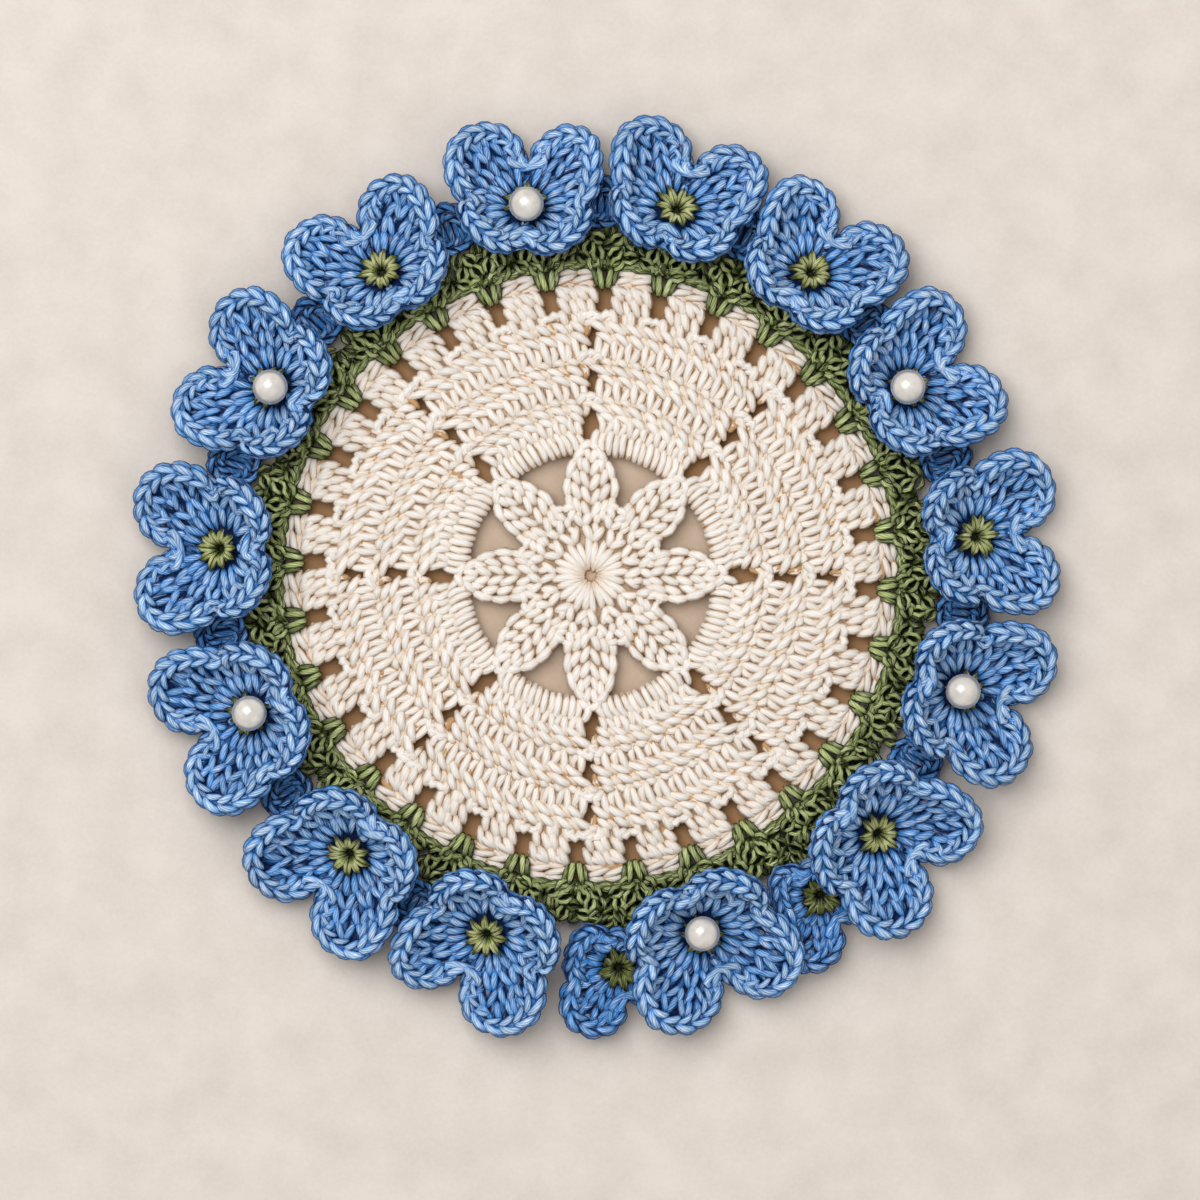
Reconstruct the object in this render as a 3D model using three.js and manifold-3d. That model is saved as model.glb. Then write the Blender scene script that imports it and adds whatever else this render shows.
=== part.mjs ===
// Crochet coaster: a flat cream mat in an eight-part wheel pattern, a green lace edging
// looped into the mat's rim, and a wreath of cupped four-petal flowers sewn on the lace.
// Millimetres, +Z up. The origin is the middle of the mat's underside.

import * as THREE from 'three';
import Module from 'manifold-3d';
import { mergeVertices } from 'three/addons/utils/BufferGeometryUtils.js';

const manifold = await Module();
manifold.setup();

// Driving dimensions of the whole piece
const seatGap = 0.3;
const sectors = 8;
const matThickness = 2.6;
const matRadius = 54.6;

// The rim of the mat: short blocks of two posts with a gap after each block
const blocks = 32;
const blockDip = 0.7;
const firstRimGapAngle = 8.4;
const rimGap = { inner: 48.1, outer: 51.9, width: 3.6 };

// The star of eight plaited petals at the middle, seen as the gaps between them
const starGap = { outer: 22.3, steps: 5 };
const starPetalWidths = [
  { radius: 13.0, width: 8.7 },
  { radius: 15.0, width: 8.8 },
  { radius: 17.1, width: 8.5 },
  { radius: 19.0, width: 7.2 },
  { radius: 20.8, width: 5.2 },
  { radius: 22.3, width: 3.4 },
];

// The gaps along each of the eight spokes, one for each of three rows
const spokeGaps = [
  { inner: 24.7, outer: 29.7, width: 3.0 },
  { inner: 33.5, outer: 37.3, width: 2.2 },
  { inner: 40.9, outer: 44.5, width: 2.2 },
];

// The green lace edging
const lace = {
  inner: matRadius + seatGap + 0.1,
  cordOuter: 57.4,
  outer: 61.6,
  cordHeight: 3.8,
  height: 2.6,
  segments: 64,
};
const laceSeatFan = { inner: 59.0, sides: 16 };
const laceLoop = { inner: 51.2, width: 3.2 };
const laceGap = { inner: 58.0, outer: 60.6, width: 5.2 };

// The bowl of a flower, which is an arc from its middle to the tips of its petals
const petals = 4;
const petalThickness = 2.0;
const outerNotch = { depth: 0.45, sharpness: 0.45 };
const innerNotch = { depth: 0.62, sharpness: 0.25 };
const petalTrough = 1.0;
const standing = {
  reach: 18.4,
  leftShare: 1,
  rimSlope: 54,
  extraInward: 10,
  tilt: 22,
  eyeHeight: 5.35,
  seatWidth: 13.0,
  seatPastEye: 4.4,
};
const tucked = {
  reach: 14.3,
  leftShare: 0.5,
  rimSlope: 40,
  extraInward: 4,
  tilt: 14,
  eyeHeight: 4.4,
  seatWidth: 8.0,
  seatPastEye: 2.4,
};

// Where each flower sits, and the way it faces. A tucked flower lies low, half under its
// neighbours, and its left and right name the room that it has beside its own middle.
const flowers = [
  { name: '01', angle: 99.9, radius: 67.0, face: 88, pearl: true, form: standing },
  { name: '02', angle: 76.8, radius: 67.0, face: 70, pearl: false, form: standing },
  { name: '03', angle: 53.9, radius: 66.7, face: 56, pearl: false, form: standing },
  { name: '04', angle: 30.7, radius: 65.6, face: 28, pearl: true, form: standing },
  { name: '05', angle: 5.8, radius: 69.0, face: 3, pearl: false, form: standing },
  { name: '06', angle: -17.3, radius: 69.4, face: -17, pearl: true, form: standing },
  { name: '07', angle: -42.0, radius: 68.8, face: -34, pearl: false, form: standing },
  { name: '08', angle: -54.3, radius: 70.4, face: -54, pearl: false, form: tucked, left: 5.2, right: 5.8 },
  { name: '09', angle: -72.7, radius: 66.7, face: -66, pearl: true, form: standing },
  { name: '10', angle: -86.0, radius: 70.3, face: -88, pearl: false, form: tucked, left: 5.6, right: 9.6 },
  { name: '11', angle: -106.0, radius: 66.6, face: -122, pearl: false, form: standing },
  { name: '12', angle: -130.9, radius: 65.6, face: -131, pearl: false, form: standing },
  { name: '13', angle: -158.0, radius: 65.4, face: -156, pearl: true, form: standing },
  { name: '14', angle: 175.8, radius: 66.2, face: 181, pearl: false, form: standing },
  { name: '15', angle: 149.5, radius: 66.0, face: 155, pearl: true, form: standing },
  { name: '16', angle: 124.6, radius: 65.7, face: 119, pearl: false, form: standing },
];

// The green star in each flower, and the pearl beads on some of them
const eye = { points: 11, tip: 4.3, waist: 2.9, thickness: 1.0, lift: 0.92 };
const pearlRadius = 3.0;
const pearlInward = 2.0;

// The low petals that fill the space between two standing flowers
const lowPetal = { inner: 62.2, length: 10.5, width: 9.0, thickness: 2.0, slope: 7, foot: 0.4, sides: 14 };

const materials = {
  cream: { color: 0xf0e4d4, roughness: 0.85 },
  green: { color: 0x6f8a45, roughness: 0.6 },
  blue: { color: 0x5b8fd6, roughness: 0.65 },
  lowBlue: { color: 0x4576bd, roughness: 0.7 },
  pearl: { color: 0xe9e6de, roughness: 0.2 },
};

const radians = THREE.MathUtils.degToRad;
const lerp = THREE.MathUtils.lerp;

function namedMesh(name, geometry, look) {
  const material = new THREE.MeshStandardMaterial({ ...look, metalness: 0 });
  const mesh = new THREE.Mesh(geometry, material);
  mesh.name = name;
  return mesh;
}

// A point at an angle in degrees and a radius, moved sideways at a right angle to it
function polar(angle, radius, sideways = 0) {
  const turn = radians(angle);
  return new THREE.Vector2(
    radius * Math.cos(turn) - sideways * Math.sin(turn),
    radius * Math.sin(turn) + sideways * Math.cos(turn),
  );
}

// A six-sided gap, pointed at both ends, along a spoke of the wheel
function spokeGapOutline(angle, gap) {
  const quarter = (gap.outer - gap.inner) / 4;
  const half = gap.width / 2;
  return [
    polar(angle, gap.inner),
    polar(angle, gap.inner + quarter, -half),
    polar(angle, gap.outer - quarter, -half),
    polar(angle, gap.outer),
    polar(angle, gap.outer - quarter, half),
    polar(angle, gap.inner + quarter, half),
  ];
}

// A gap between two blocks of the rim, with its corners cut off
function rimGapOutline(angle, gap) {
  const half = gap.width / 2;
  const corner = gap.width / 4;
  return [
    polar(angle, gap.inner, -half + corner),
    polar(angle, gap.inner, half - corner),
    polar(angle, gap.inner + corner, half),
    polar(angle, gap.outer - corner, half),
    polar(angle, gap.outer, half - corner),
    polar(angle, gap.outer, -half + corner),
    polar(angle, gap.outer - corner, -half),
    polar(angle, gap.inner + corner, -half),
  ];
}

// A gap between two petals of the star: what is left of its sector beside the petals
function starGapOutline(angle) {
  const halfSector = 180 / sectors;
  const sides = starPetalWidths.map(({ radius, width }) => {
    const petalHalfAngle = THREE.MathUtils.radToDeg(Math.asin(width / 2 / radius));
    return { radius, spread: halfSector - petalHalfAngle };
  });
  const right = sides.map(({ radius, spread }) => polar(angle - spread, radius));
  const left = sides.map(({ radius, spread }) => polar(angle + spread, radius)).reverse();
  const outerSpread = sides[sides.length - 1].spread;
  const outerArc = [];
  for (let step = 1; step < starGap.steps; step += 1) {
    const share = step / starGap.steps;
    outerArc.push(polar(angle + lerp(-outerSpread, outerSpread, share), starGap.outer));
  }
  return [...right, ...outerArc, ...left];
}

function creamMat() {
  const outline = [];
  const pointsPerBlock = 4;
  for (let step = 0; step < blocks * pointsPerBlock; step += 1) {
    const angle = firstRimGapAngle + (360 * step) / (blocks * pointsPerBlock);
    const atGap = step % pointsPerBlock === 0;
    outline.push(polar(angle, atGap ? matRadius - blockDip : matRadius));
  }
  const shape = new THREE.Shape(outline);
  for (let sector = 0; sector < sectors; sector += 1) {
    const spoke = (360 * sector) / sectors;
    shape.holes.push(new THREE.Path(starGapOutline(spoke + 180 / sectors)));
    spokeGaps.forEach((gap) => shape.holes.push(new THREE.Path(spokeGapOutline(spoke, gap))));
  }
  for (let block = 0; block < blocks; block += 1) {
    const angle = firstRimGapAngle + (360 * block) / blocks;
    shape.holes.push(new THREE.Path(rimGapOutline(angle, rimGap)));
  }
  return new THREE.ExtrudeGeometry(shape, { depth: matThickness, bevelEnabled: false });
}

// Solids to be joined or cut, from closed three.js geometries
function toSolid(geometry) {
  const bare = geometry.clone();
  bare.deleteAttribute('normal');
  bare.deleteAttribute('uv');
  const merged = mergeVertices(bare, 1e-4);
  return new manifold.Manifold(
    new manifold.Mesh({
      numProp: 3,
      vertProperties: new Float32Array(merged.attributes.position.array),
      triVerts: new Uint32Array(merged.index.array),
    }),
  );
}

function toGeometry(solid) {
  const mesh = solid.getMesh();
  const geometry = new THREE.BufferGeometry();
  geometry.setAttribute('position', new THREE.BufferAttribute(mesh.vertProperties, 3));
  geometry.setIndex(new THREE.BufferAttribute(mesh.triVerts, 1));
  return geometry;
}

// A ring with a tall cord along its inner edge and a lower band outside it
function laceRing() {
  const profile = [
    new THREE.Vector2(lace.inner, 0),
    new THREE.Vector2(lace.outer, 0),
    new THREE.Vector2(lace.outer, lace.height),
    new THREE.Vector2(lace.cordOuter, lace.height),
    new THREE.Vector2(lace.cordOuter, lace.cordHeight),
    new THREE.Vector2(lace.inner, lace.cordHeight),
    new THREE.Vector2(lace.inner, 0),
  ];
  const ring = new THREE.LatheGeometry(profile, lace.segments);
  ring.rotateX(Math.PI / 2);
  return ring;
}

// The pair of stitches that reaches from the cord over the rim of the mat into a gap
function laceLoopBlock(angle) {
  const foot = matThickness + seatGap;
  const length = lace.cordOuter - 0.8 - laceLoop.inner;
  const block = new THREE.BoxGeometry(length, laceLoop.width, lace.cordHeight - foot);
  block.translate(laceLoop.inner + length / 2, 0, (lace.cordHeight + foot) / 2);
  block.rotateZ(radians(angle));
  return block;
}

// The fan of lace under a flower, on which the flower is sewn
function laceSeat(flower) {
  const length = flower.radius + flower.form.seatPastEye - laceSeatFan.inner;
  const seat = new THREE.CylinderGeometry(0.5, 0.5, lace.height, laceSeatFan.sides);
  seat.rotateX(Math.PI / 2);
  seat.scale(length, flower.form.seatWidth, 1);
  seat.translate(laceSeatFan.inner + length / 2, 0, lace.height / 2);
  seat.rotateZ(radians(flower.angle));
  return seat;
}

// A three-cornered gap in the band, between two pairs of loops
function laceGapBlock(angle) {
  const outline = [
    polar(angle, laceGap.inner, -laceGap.width / 2),
    polar(angle, laceGap.outer),
    polar(angle, laceGap.inner, laceGap.width / 2),
  ];
  const cut = new THREE.ExtrudeGeometry(new THREE.Shape(outline), {
    depth: lace.cordHeight + 2,
    bevelEnabled: false,
  });
  cut.translate(0, 0, -1);
  return cut;
}

function greenEdging() {
  let solid = toSolid(laceRing());
  flowers.forEach((flower) => {
    solid = solid.add(toSolid(laceSeat(flower)));
  });
  for (let block = 0; block < blocks; block += 1) {
    const gapAngle = firstRimGapAngle + (360 * block) / blocks;
    solid = solid.add(toSolid(laceLoopBlock(gapAngle)));
    solid = solid.subtract(toSolid(laceGapBlock(gapAngle + 180 / blocks)));
  }
  return toGeometry(solid);
}

// The room beside a flower, up to half way to its neighbour
function sideRooms(flower, index) {
  const own = polar(flower.angle, flower.radius);
  const neighbour = (steps) => flowers[(index + steps + flowers.length) % flowers.length];
  const sides = [
    { step: -1, given: flower.left },
    { step: 1, given: flower.right },
  ];
  return sides.map(({ step, given }) => {
    const passesOver = flower.form === standing && neighbour(step).form === tucked;
    const other = neighbour(passesOver ? 2 * step : step);
    const toOther = polar(other.angle, other.radius).sub(own);
    const half = toOther.length() / 2 - seatGap - petalThickness / 2;
    const direction = toOther.normalize().rotateAround(new THREE.Vector2(), -radians(flower.face));
    return { direction, room: given ?? half };
  });
}

// Presses what would pass the neighbour's side softly back within the room
function pressBack(point, sides) {
  const firm = 0.55;
  sides.forEach(({ direction, room }) => {
    const along = point.x * direction.x + point.y * direction.y;
    if (along > firm * room) {
      const over = (along / room - firm) / (1 - firm);
      const pressed = room * (firm + (1 - firm) * Math.tanh(over));
      point.x += (pressed - along) * direction.x;
      point.y += (pressed - along) * direction.y;
    }
  });
}

// The length of a petal along its arc at an angle from the way that the flower faces
function petalLength(form, angle) {
  const inward = (1 - Math.cos(radians(angle))) / 2;
  const depth = lerp(outerNotch.depth, innerNotch.depth, inward);
  const sharpness = lerp(outerNotch.sharpness, innerNotch.sharpness, inward);
  const lobe = Math.abs(Math.sin((radians(angle) * petals) / 2)) ** sharpness;
  const onLeft = Math.sqrt(Math.max(0, Math.sin(radians(angle))));
  const share = lerp(1, form.leftShare, onLeft);
  return form.reach * share * lerp(depth, 1, lobe);
}

// The middle surface of a flower, at an angle and an arc length from its eye
function flowerPoint(flower, sides, angle, arc) {
  const { form } = flower;
  const rimSlope = form.rimSlope - form.extraInward * Math.cos(radians(angle));
  const bend = radians(rimSlope) / form.reach;
  const slope = bend * arc;
  const across = Math.sin(slope) / bend;
  const rise = (1 - Math.cos(slope)) / bend;
  const middleOfPetal = Math.sin((radians(angle) * petals) / 2) ** 2;
  const trough = petalTrough * (arc / form.reach) * middleOfPetal;
  const point = new THREE.Vector3(
    across * Math.cos(radians(angle)) + trough * Math.sin(slope) * Math.cos(radians(angle)),
    across * Math.sin(radians(angle)) + trough * Math.sin(slope) * Math.sin(radians(angle)),
    rise - trough * Math.cos(slope),
  );
  point.applyAxisAngle(new THREE.Vector3(0, 1, 0), radians(form.tilt));
  pressBack(point, sides);
  return point;
}

// The upward normal of the middle surface, from points a small step away on each side
function flowerNormal(flower, sides, angle, arc) {
  const arcStep = 0.05;
  const angleStep = 0.5;
  const along = flowerPoint(flower, sides, angle, arc + arcStep);
  along.sub(flowerPoint(flower, sides, angle, arc - arcStep));
  const round = flowerPoint(flower, sides, angle + angleStep, arc);
  round.sub(flowerPoint(flower, sides, angle - angleStep, arc));
  return along.cross(round).normalize();
}

// A closed cup: the middle surface, moved half its thickness to each side
function flowerCup(flower, index) {
  const sides = sideRooms(flower, index);
  const sharesOfPetal = [0, 0.06, 0.2, 0.4, 0.6, 0.8, 0.94];
  const sharesOfArc = [0.28, 0.52, 0.76, 1];
  const angles = [];
  for (let petal = 0; petal < petals; petal += 1) {
    sharesOfPetal.forEach((share) => angles.push(((petal + share) * 360) / petals));
  }
  const positions = [];
  const addVertex = (point) => positions.push(point.x, point.y, point.z);
  const half = petalThickness / 2;
  const upright = new THREE.Vector3(0, 0, 1).applyAxisAngle(
    new THREE.Vector3(0, 1, 0),
    radians(flower.form.tilt),
  );
  [half, -half].forEach((offset) => {
    addVertex(flowerPoint(flower, sides, 0, 0).addScaledVector(upright, offset));
    sharesOfArc.forEach((share) => {
      angles.forEach((angle) => {
        const arc = share * petalLength(flower.form, angle);
        const point = flowerPoint(flower, sides, angle, arc);
        addVertex(point.addScaledVector(flowerNormal(flower, sides, angle, arc), offset));
      });
    });
  });
  const count = angles.length;
  const rings = sharesOfArc.length;
  const below = 1 + rings * count;
  const triangles = [];
  const vertex = (ring, step) => 1 + ring * count + (step % count);
  const addBoth = (a, b, c) => triangles.push(a, b, c, below + a, below + c, below + b);
  for (let step = 0; step < count; step += 1) {
    addBoth(0, vertex(0, step), vertex(0, step + 1));
    for (let ring = 0; ring + 1 < rings; ring += 1) {
      const [a, b] = [vertex(ring, step), vertex(ring + 1, step)];
      const [c, d] = [vertex(ring + 1, step + 1), vertex(ring, step + 1)];
      addBoth(a, b, c);
      addBoth(a, c, d);
    }
    const [rim, next] = [vertex(rings - 1, step), vertex(rings - 1, step + 1)];
    triangles.push(rim, below + rim, below + next, rim, below + next, next);
  }
  const geometry = new THREE.BufferGeometry();
  geometry.setAttribute('position', new THREE.Float32BufferAttribute(positions, 3));
  geometry.setIndex(triangles);
  return geometry;
}

function greenEye() {
  const outline = [];
  for (let step = 0; step < eye.points * 2; step += 1) {
    outline.push(polar((180 * step) / eye.points, step % 2 === 0 ? eye.tip : eye.waist));
  }
  return new THREE.ExtrudeGeometry(new THREE.Shape(outline), { depth: eye.thickness, bevelEnabled: false });
}

// One flower with its eye and bead, turned to face outward
function flowerGroup(flower, index) {
  const { form, name } = flower;
  const group = new THREE.Group();
  const place = polar(flower.angle, flower.radius);
  group.position.set(place.x, place.y, form.eyeHeight);
  group.rotation.z = radians(flower.face);
  group.add(namedMesh(`flower_${name}`, flowerCup(flower, index), materials.blue));
  const middle = new THREE.Group();
  middle.rotation.y = radians(form.tilt);
  const star = namedMesh(`flower_eye_${name}`, greenEye(), materials.green);
  star.position.z = petalThickness / 2 + eye.lift;
  middle.add(star);
  if (flower.pearl) {
    const bead = namedMesh(`pearl_${name}`, new THREE.SphereGeometry(pearlRadius, 12, 8), materials.pearl);
    bead.position.set(-pearlInward, 0, star.position.z + eye.thickness + seatGap + pearlRadius);
    middle.add(bead);
  }
  group.add(middle);
  return group;
}

// A flat rounded petal, tipped up outward, between two standing flowers
function lowPetalMesh(name, angle) {
  const shape = new THREE.Shape();
  for (let side = 0; side < lowPetal.sides; side += 1) {
    const turn = (2 * Math.PI * side) / lowPetal.sides;
    const x = (lowPetal.length / 2) * (1 + Math.cos(turn));
    const y = (lowPetal.width / 2) * Math.sin(turn);
    if (side === 0) {
      shape.moveTo(x, y);
    } else {
      shape.lineTo(x, y);
    }
  }
  const geometry = new THREE.ExtrudeGeometry(shape, { depth: lowPetal.thickness, bevelEnabled: false });
  geometry.rotateY(-radians(lowPetal.slope));
  const mesh = namedMesh(name, geometry, materials.lowBlue);
  const place = polar(angle, lowPetal.inner);
  mesh.position.set(place.x, place.y, lowPetal.foot);
  mesh.rotation.z = radians(angle);
  return mesh;
}

const coaster = new THREE.Group();
coaster.add(namedMesh('cream_mat', creamMat(), materials.cream));
coaster.add(namedMesh('green_edging', greenEdging(), materials.green));
flowers.forEach((flower, index) => coaster.add(flowerGroup(flower, index)));
flowers.forEach((flower, index) => {
  const next = flowers[(index + 1) % flowers.length];
  if (flower.form === standing && next.form === standing) {
    const own = polar(flower.angle, 1);
    const between = own.add(polar(next.angle, 1));
    const angle = THREE.MathUtils.radToDeg(between.angle());
    coaster.add(lowPetalMesh(`low_petal_${flower.name}`, angle));
  }
});

export default coaster;
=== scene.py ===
# A crochet coaster: a cream cotton mat, a green lace edging looped into its rim and a wreath of
# cupped blue flowers. Every stitch is a strand of yarn, swept along a short path that lies on the
# surface it is worked in. Lengths are millimetres until a mesh is made, which is in metres.
import math

import bmesh
import bpy
import numpy as np
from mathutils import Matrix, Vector
from mathutils.geometry import delaunay_2d_cdt


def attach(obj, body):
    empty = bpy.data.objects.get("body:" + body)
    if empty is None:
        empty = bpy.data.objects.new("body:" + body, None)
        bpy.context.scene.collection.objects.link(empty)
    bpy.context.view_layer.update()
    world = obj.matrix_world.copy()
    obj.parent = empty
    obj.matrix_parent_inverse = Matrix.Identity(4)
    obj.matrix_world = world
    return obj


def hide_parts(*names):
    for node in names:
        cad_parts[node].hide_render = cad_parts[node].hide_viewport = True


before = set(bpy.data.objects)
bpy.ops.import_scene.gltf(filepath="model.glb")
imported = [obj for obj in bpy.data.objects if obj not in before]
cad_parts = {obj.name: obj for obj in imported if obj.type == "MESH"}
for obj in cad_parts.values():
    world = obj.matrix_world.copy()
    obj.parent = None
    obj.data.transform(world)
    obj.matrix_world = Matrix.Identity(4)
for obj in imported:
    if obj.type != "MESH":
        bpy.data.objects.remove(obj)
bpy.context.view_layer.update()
chance = np.random.default_rng(11)
metresPerMm = 0.001
print("stage: the packed frame is loaded")

photoFrame = dict(pixels=1200, mmPerPixel=0.18, matMiddlePixel=(590.5, 575.5), cameraHeight=2.0)


def linearColour(hexColour):
    # sRGB to linear: c / 12.92 up to 0.04045, and ((c + 0.055) / 1.055) to the power 2.4 above it
    parts = [int(hexColour[i:i + 2], 16) / 255 for i in (1, 3, 5)]
    return tuple(c / 12.92 if c <= 0.04045 else ((c + 0.055) / 1.055) ** 2.4 for c in parts) + (1.0,)


def addNode(tree, kind, settings=None, values=None, links=None):
    # one shader node of a kind, with its settings, its socket values and the sockets that feed it.
    # A node given as a source stands for its first output.
    node = tree.nodes.new("ShaderNode" + kind)
    for key, value in (settings or {}).items():
        setattr(node, key, value)
    for socket, value in (values or {}).items():
        node.inputs[socket].default_value = value
    for socket, source in (links or {}).items():
        tree.links.new(getattr(source, "outputs", [source])[0], node.inputs[socket])
    return node


def setStops(ramp, first, *others):
    # the stops of a colour ramp in their order, each a position and a hex colour
    *between, last = others
    elements = ramp.color_ramp.elements
    for element, (position, colour) in zip(elements, (first, last)):
        element.position = position
        element.color = linearColour(colour)
    for position, colour in between:
        elements.new(position).color = linearColour(colour)


def newMaterial(name):
    material = bpy.data.materials.new(name)
    material.use_nodes = True
    material.node_tree.nodes.clear()
    return material, material.node_tree


def perMetre(size):
    # how many times a pattern of a size in mm fits in a metre
    return 1 / (size * metresPerMm)


def ringOfAngles(count, offset=0.0):
    # even steps of one turn in radians, moved on by a share of a step
    return (np.arange(count) + offset) * 2 * np.pi / count


def polar(angle, radius, height):
    # x = radius * cos(angle) and y = radius * sin(angle), at a height
    x, y = radius * np.cos(angle), radius * np.sin(angle)
    return np.stack([x, y, np.broadcast_to(height, x.shape)], -1)


def turned(x, y, degrees):
    # a plane turned about its middle: x * cos - y * sin and x * sin + y * cos
    cosine, sine = math.cos(math.radians(degrees)), math.sin(math.radians(degrees))
    return x * cosine - y * sine, x * sine + y * cosine


# Camera: straight above, with the frame of the photograph at the height of the mat
def placeCamera():
    centre = photoFrame["pixels"] / 2
    side = photoFrame["mmPerPixel"]
    x = (centre - photoFrame["matMiddlePixel"][0]) * side
    y = (photoFrame["matMiddlePixel"][1] - centre) * side
    data = bpy.data.cameras.new("camera")
    data.sensor_width = 36
    data.lens = 36 * photoFrame["cameraHeight"] / (photoFrame["pixels"] * side * metresPerMm)
    camera = bpy.data.objects.new("camera", data)
    camera.location = (x * metresPerMm, y * metresPerMm, photoFrame["cameraHeight"])
    bpy.context.scene.collection.objects.link(camera)
    bpy.context.scene.camera = camera


placeCamera()

# Strands of yarn


def strandShares(rings):
    # shares of a strand's length, closer together at its ends: half of one minus a cosine
    return 0.5 - 0.5 * np.cos(np.pi * np.arange(rings) / (rings - 1))


def curveThrough(controls, rings):
    # Catmull-Rom: a cubic through every control point, whose slope there is half the way between
    # the points before and after it. controls (strands, points, 3) gives (strands, rings, 3).
    first = 2 * controls[:, :1] - controls[:, 1:2]
    last = 2 * controls[:, -1:] - controls[:, -2:-1]
    points = np.concatenate([first, controls, last], axis=1)
    place = strandShares(rings) * (controls.shape[1] - 1)
    span = np.minimum(place.astype(int), controls.shape[1] - 2)
    t = (place - span)[None, :, None]
    p0, p1, p2, p3 = (points[:, span + step] for step in range(4))
    return 0.5 * (2 * p1 + (p2 - p0) * t + (2 * p0 - 5 * p1 + 4 * p2 - p3) * t ** 2
                  + (3 * p1 - p0 - 3 * p2 + p3) * t ** 3)


def unit(vectors):
    # each vector over its own length
    return vectors / np.maximum(np.linalg.norm(vectors, axis=-1, keepdims=True), 1e-9)


# How much strands differ in fullness, how much painted light their sides and tips keep from 0 to 1
# against painted shade, and by how many mm their plies are moved at random; a strand that is seen
# little has fewer faces
strand = dict(swell=0.05, edgeCrown=0.35, tipCrown=0.1, bluntTipCrown=0.65, bluntFrom=4, plyShift=20)
hidden = dict(rings=6, sides=5)


def layStrands(surface, controls, width, thick, blunt=3.0, fullest=0.5, depth=1.0,
               rings=7, sides=6, wobble=0.06, taper=0.5, skyward=0.0):
    # A tube along a curve on a surface: middle + cos(turn) * half width * side + sin(turn) * half
    # thickness * up, both times (1 - |2 s - 1| ** blunt) ** taper, where s is the share of the
    # length, bent so that the tube is fullest at its own share. Each end closes in one point.
    count = len(controls)
    column = lambda value: np.broadcast_to(np.asarray(value, float), (count,))[:, None]
    laid = curveThrough(np.asarray(controls, float), rings)
    place, up = surface(laid[..., 0], laid[..., 1])
    path = place + up * laid[..., 2:]
    path = path + chance.normal(0, wobble, (count, 1, 3))
    along = unit(np.gradient(path, axis=1))
    # on a steep petal the crown of a strand, which carries its painted highlight, turns from the side
    # of the cloth towards the sky
    up = unit(up * (1 - skyward) + np.array([0.0, 0.0, skyward]))
    side = unit(np.cross(along, up))
    up = np.cross(side, along)
    share = strandShares(rings) ** (math.log(0.5) / np.log(column(fullest)))
    profile = np.maximum(1 - np.abs(2 * share - 1) ** column(blunt), 0) ** taper
    swollen = profile * chance.normal(1, strand["swell"], (count, 1))
    halfWidth, halfThick = ((swollen * column(size) / 2)[:, 1:-1, None, None] for size in (width, thick))
    turn = ringOfAngles(sides)
    ring = (path[:, 1:-1, None] + side[:, 1:-1, None] * halfWidth * np.cos(turn)[:, None]
            + up[:, 1:-1, None] * halfThick * np.sin(turn)[:, None])
    points = np.concatenate([path[:, :1], ring.reshape(count, -1, 3), path[:, -1:]], axis=1)
    # crown is painted light: 1, a painted highlight, along the top of a strand and 0, painted shade,
    # where it dips against its neighbours; the tip of a very blunt strand goes over an edge and keeps
    # more of the painted light
    edge = strand["edgeCrown"]
    crown = (0.5 + 0.5 * np.sin(turn)) * (edge + (1 - edge) * profile[:, 1:-1, None])
    tip = np.where(column(blunt) > strand["bluntFrom"], strand["bluntTipCrown"], strand["tipCrown"])
    crown = np.concatenate([tip, crown.reshape(count, -1), tip], axis=1)
    length = np.cumsum(np.linalg.norm(np.diff(path, axis=1), axis=2), axis=1)
    length = np.concatenate([np.zeros((count, 1)), length], axis=1)
    length = length + chance.uniform(0, strand["plyShift"], (count, 1))
    quads, tris, quadRound, trisRound, quadRing, trisRing = strandFaces(rings, sides)
    start = (np.arange(count) * points.shape[1])[:, None, None]
    cornerUv = lambda ring, part: np.stack([length[:, ring], part + 0 * length[:, ring]], -1).reshape(-1, 2)
    # depth dims a strand's painted light towards painted shade, for a strand that lies low or in shade
    return dict(
        points=points.reshape(-1, 3),
        quads=(quads + start).reshape(-1, 4), tris=(tris + start).reshape(-1, 3),
        quadUv=cornerUv(quadRing, quadRound), trisUv=cornerUv(trisRing, trisRound),
        crown=(crown * column(depth)).ravel(),
        tint=np.repeat(chance.uniform(0, 1, count), points.shape[1]),
    )


def layPattern(surface, controls, sizes, shade=1.0, **more):
    # strands with the width, thickness, bluntness and depth that their pattern gives
    width, thick, blunt, depth = sizes.T
    return layStrands(surface, controls, width, thick, blunt, depth=shade * depth, **more)


def gridQuads(index):
    # the faces between each ring of points and the next, closed round: index (rings, around)
    after = np.roll(index, -1, axis=1)
    return np.stack([index[:-1], index[1:], after[1:], after[:-1]], -1).reshape(-1, 4)


def strandFaces(rings, sides):
    # the corners of the faces from a first point over the rings between to a last point, with the
    # share of the way round and the ring of each corner
    index = 1 + np.arange((rings - 2) * sides).reshape(-1, sides)
    after = np.roll(index, -1, axis=1)
    first, last = np.zeros(sides, int), np.full(sides, 1 + index.size)
    tris = np.concatenate([np.stack([first, index[0], after[0]], 1),
                           np.stack([last, after[-1], index[-1]], 1)])
    ring, step = np.divmod(np.arange((rings - 3) * sides)[:, None], sides)
    part = np.arange(sides)[:, None]
    trisRound = np.concatenate([part + (0.5, 0, 1), part + (0.5, 1, 0)]) / sides
    trisRing = np.repeat([[0, 1, 1], [rings - 1, rings - 2, rings - 2]], sides, axis=0)
    return gridQuads(index), tris, (step + (0, 0, 1, 1)) / sides, trisRound, ring + (1, 2, 2, 1), trisRing


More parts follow.
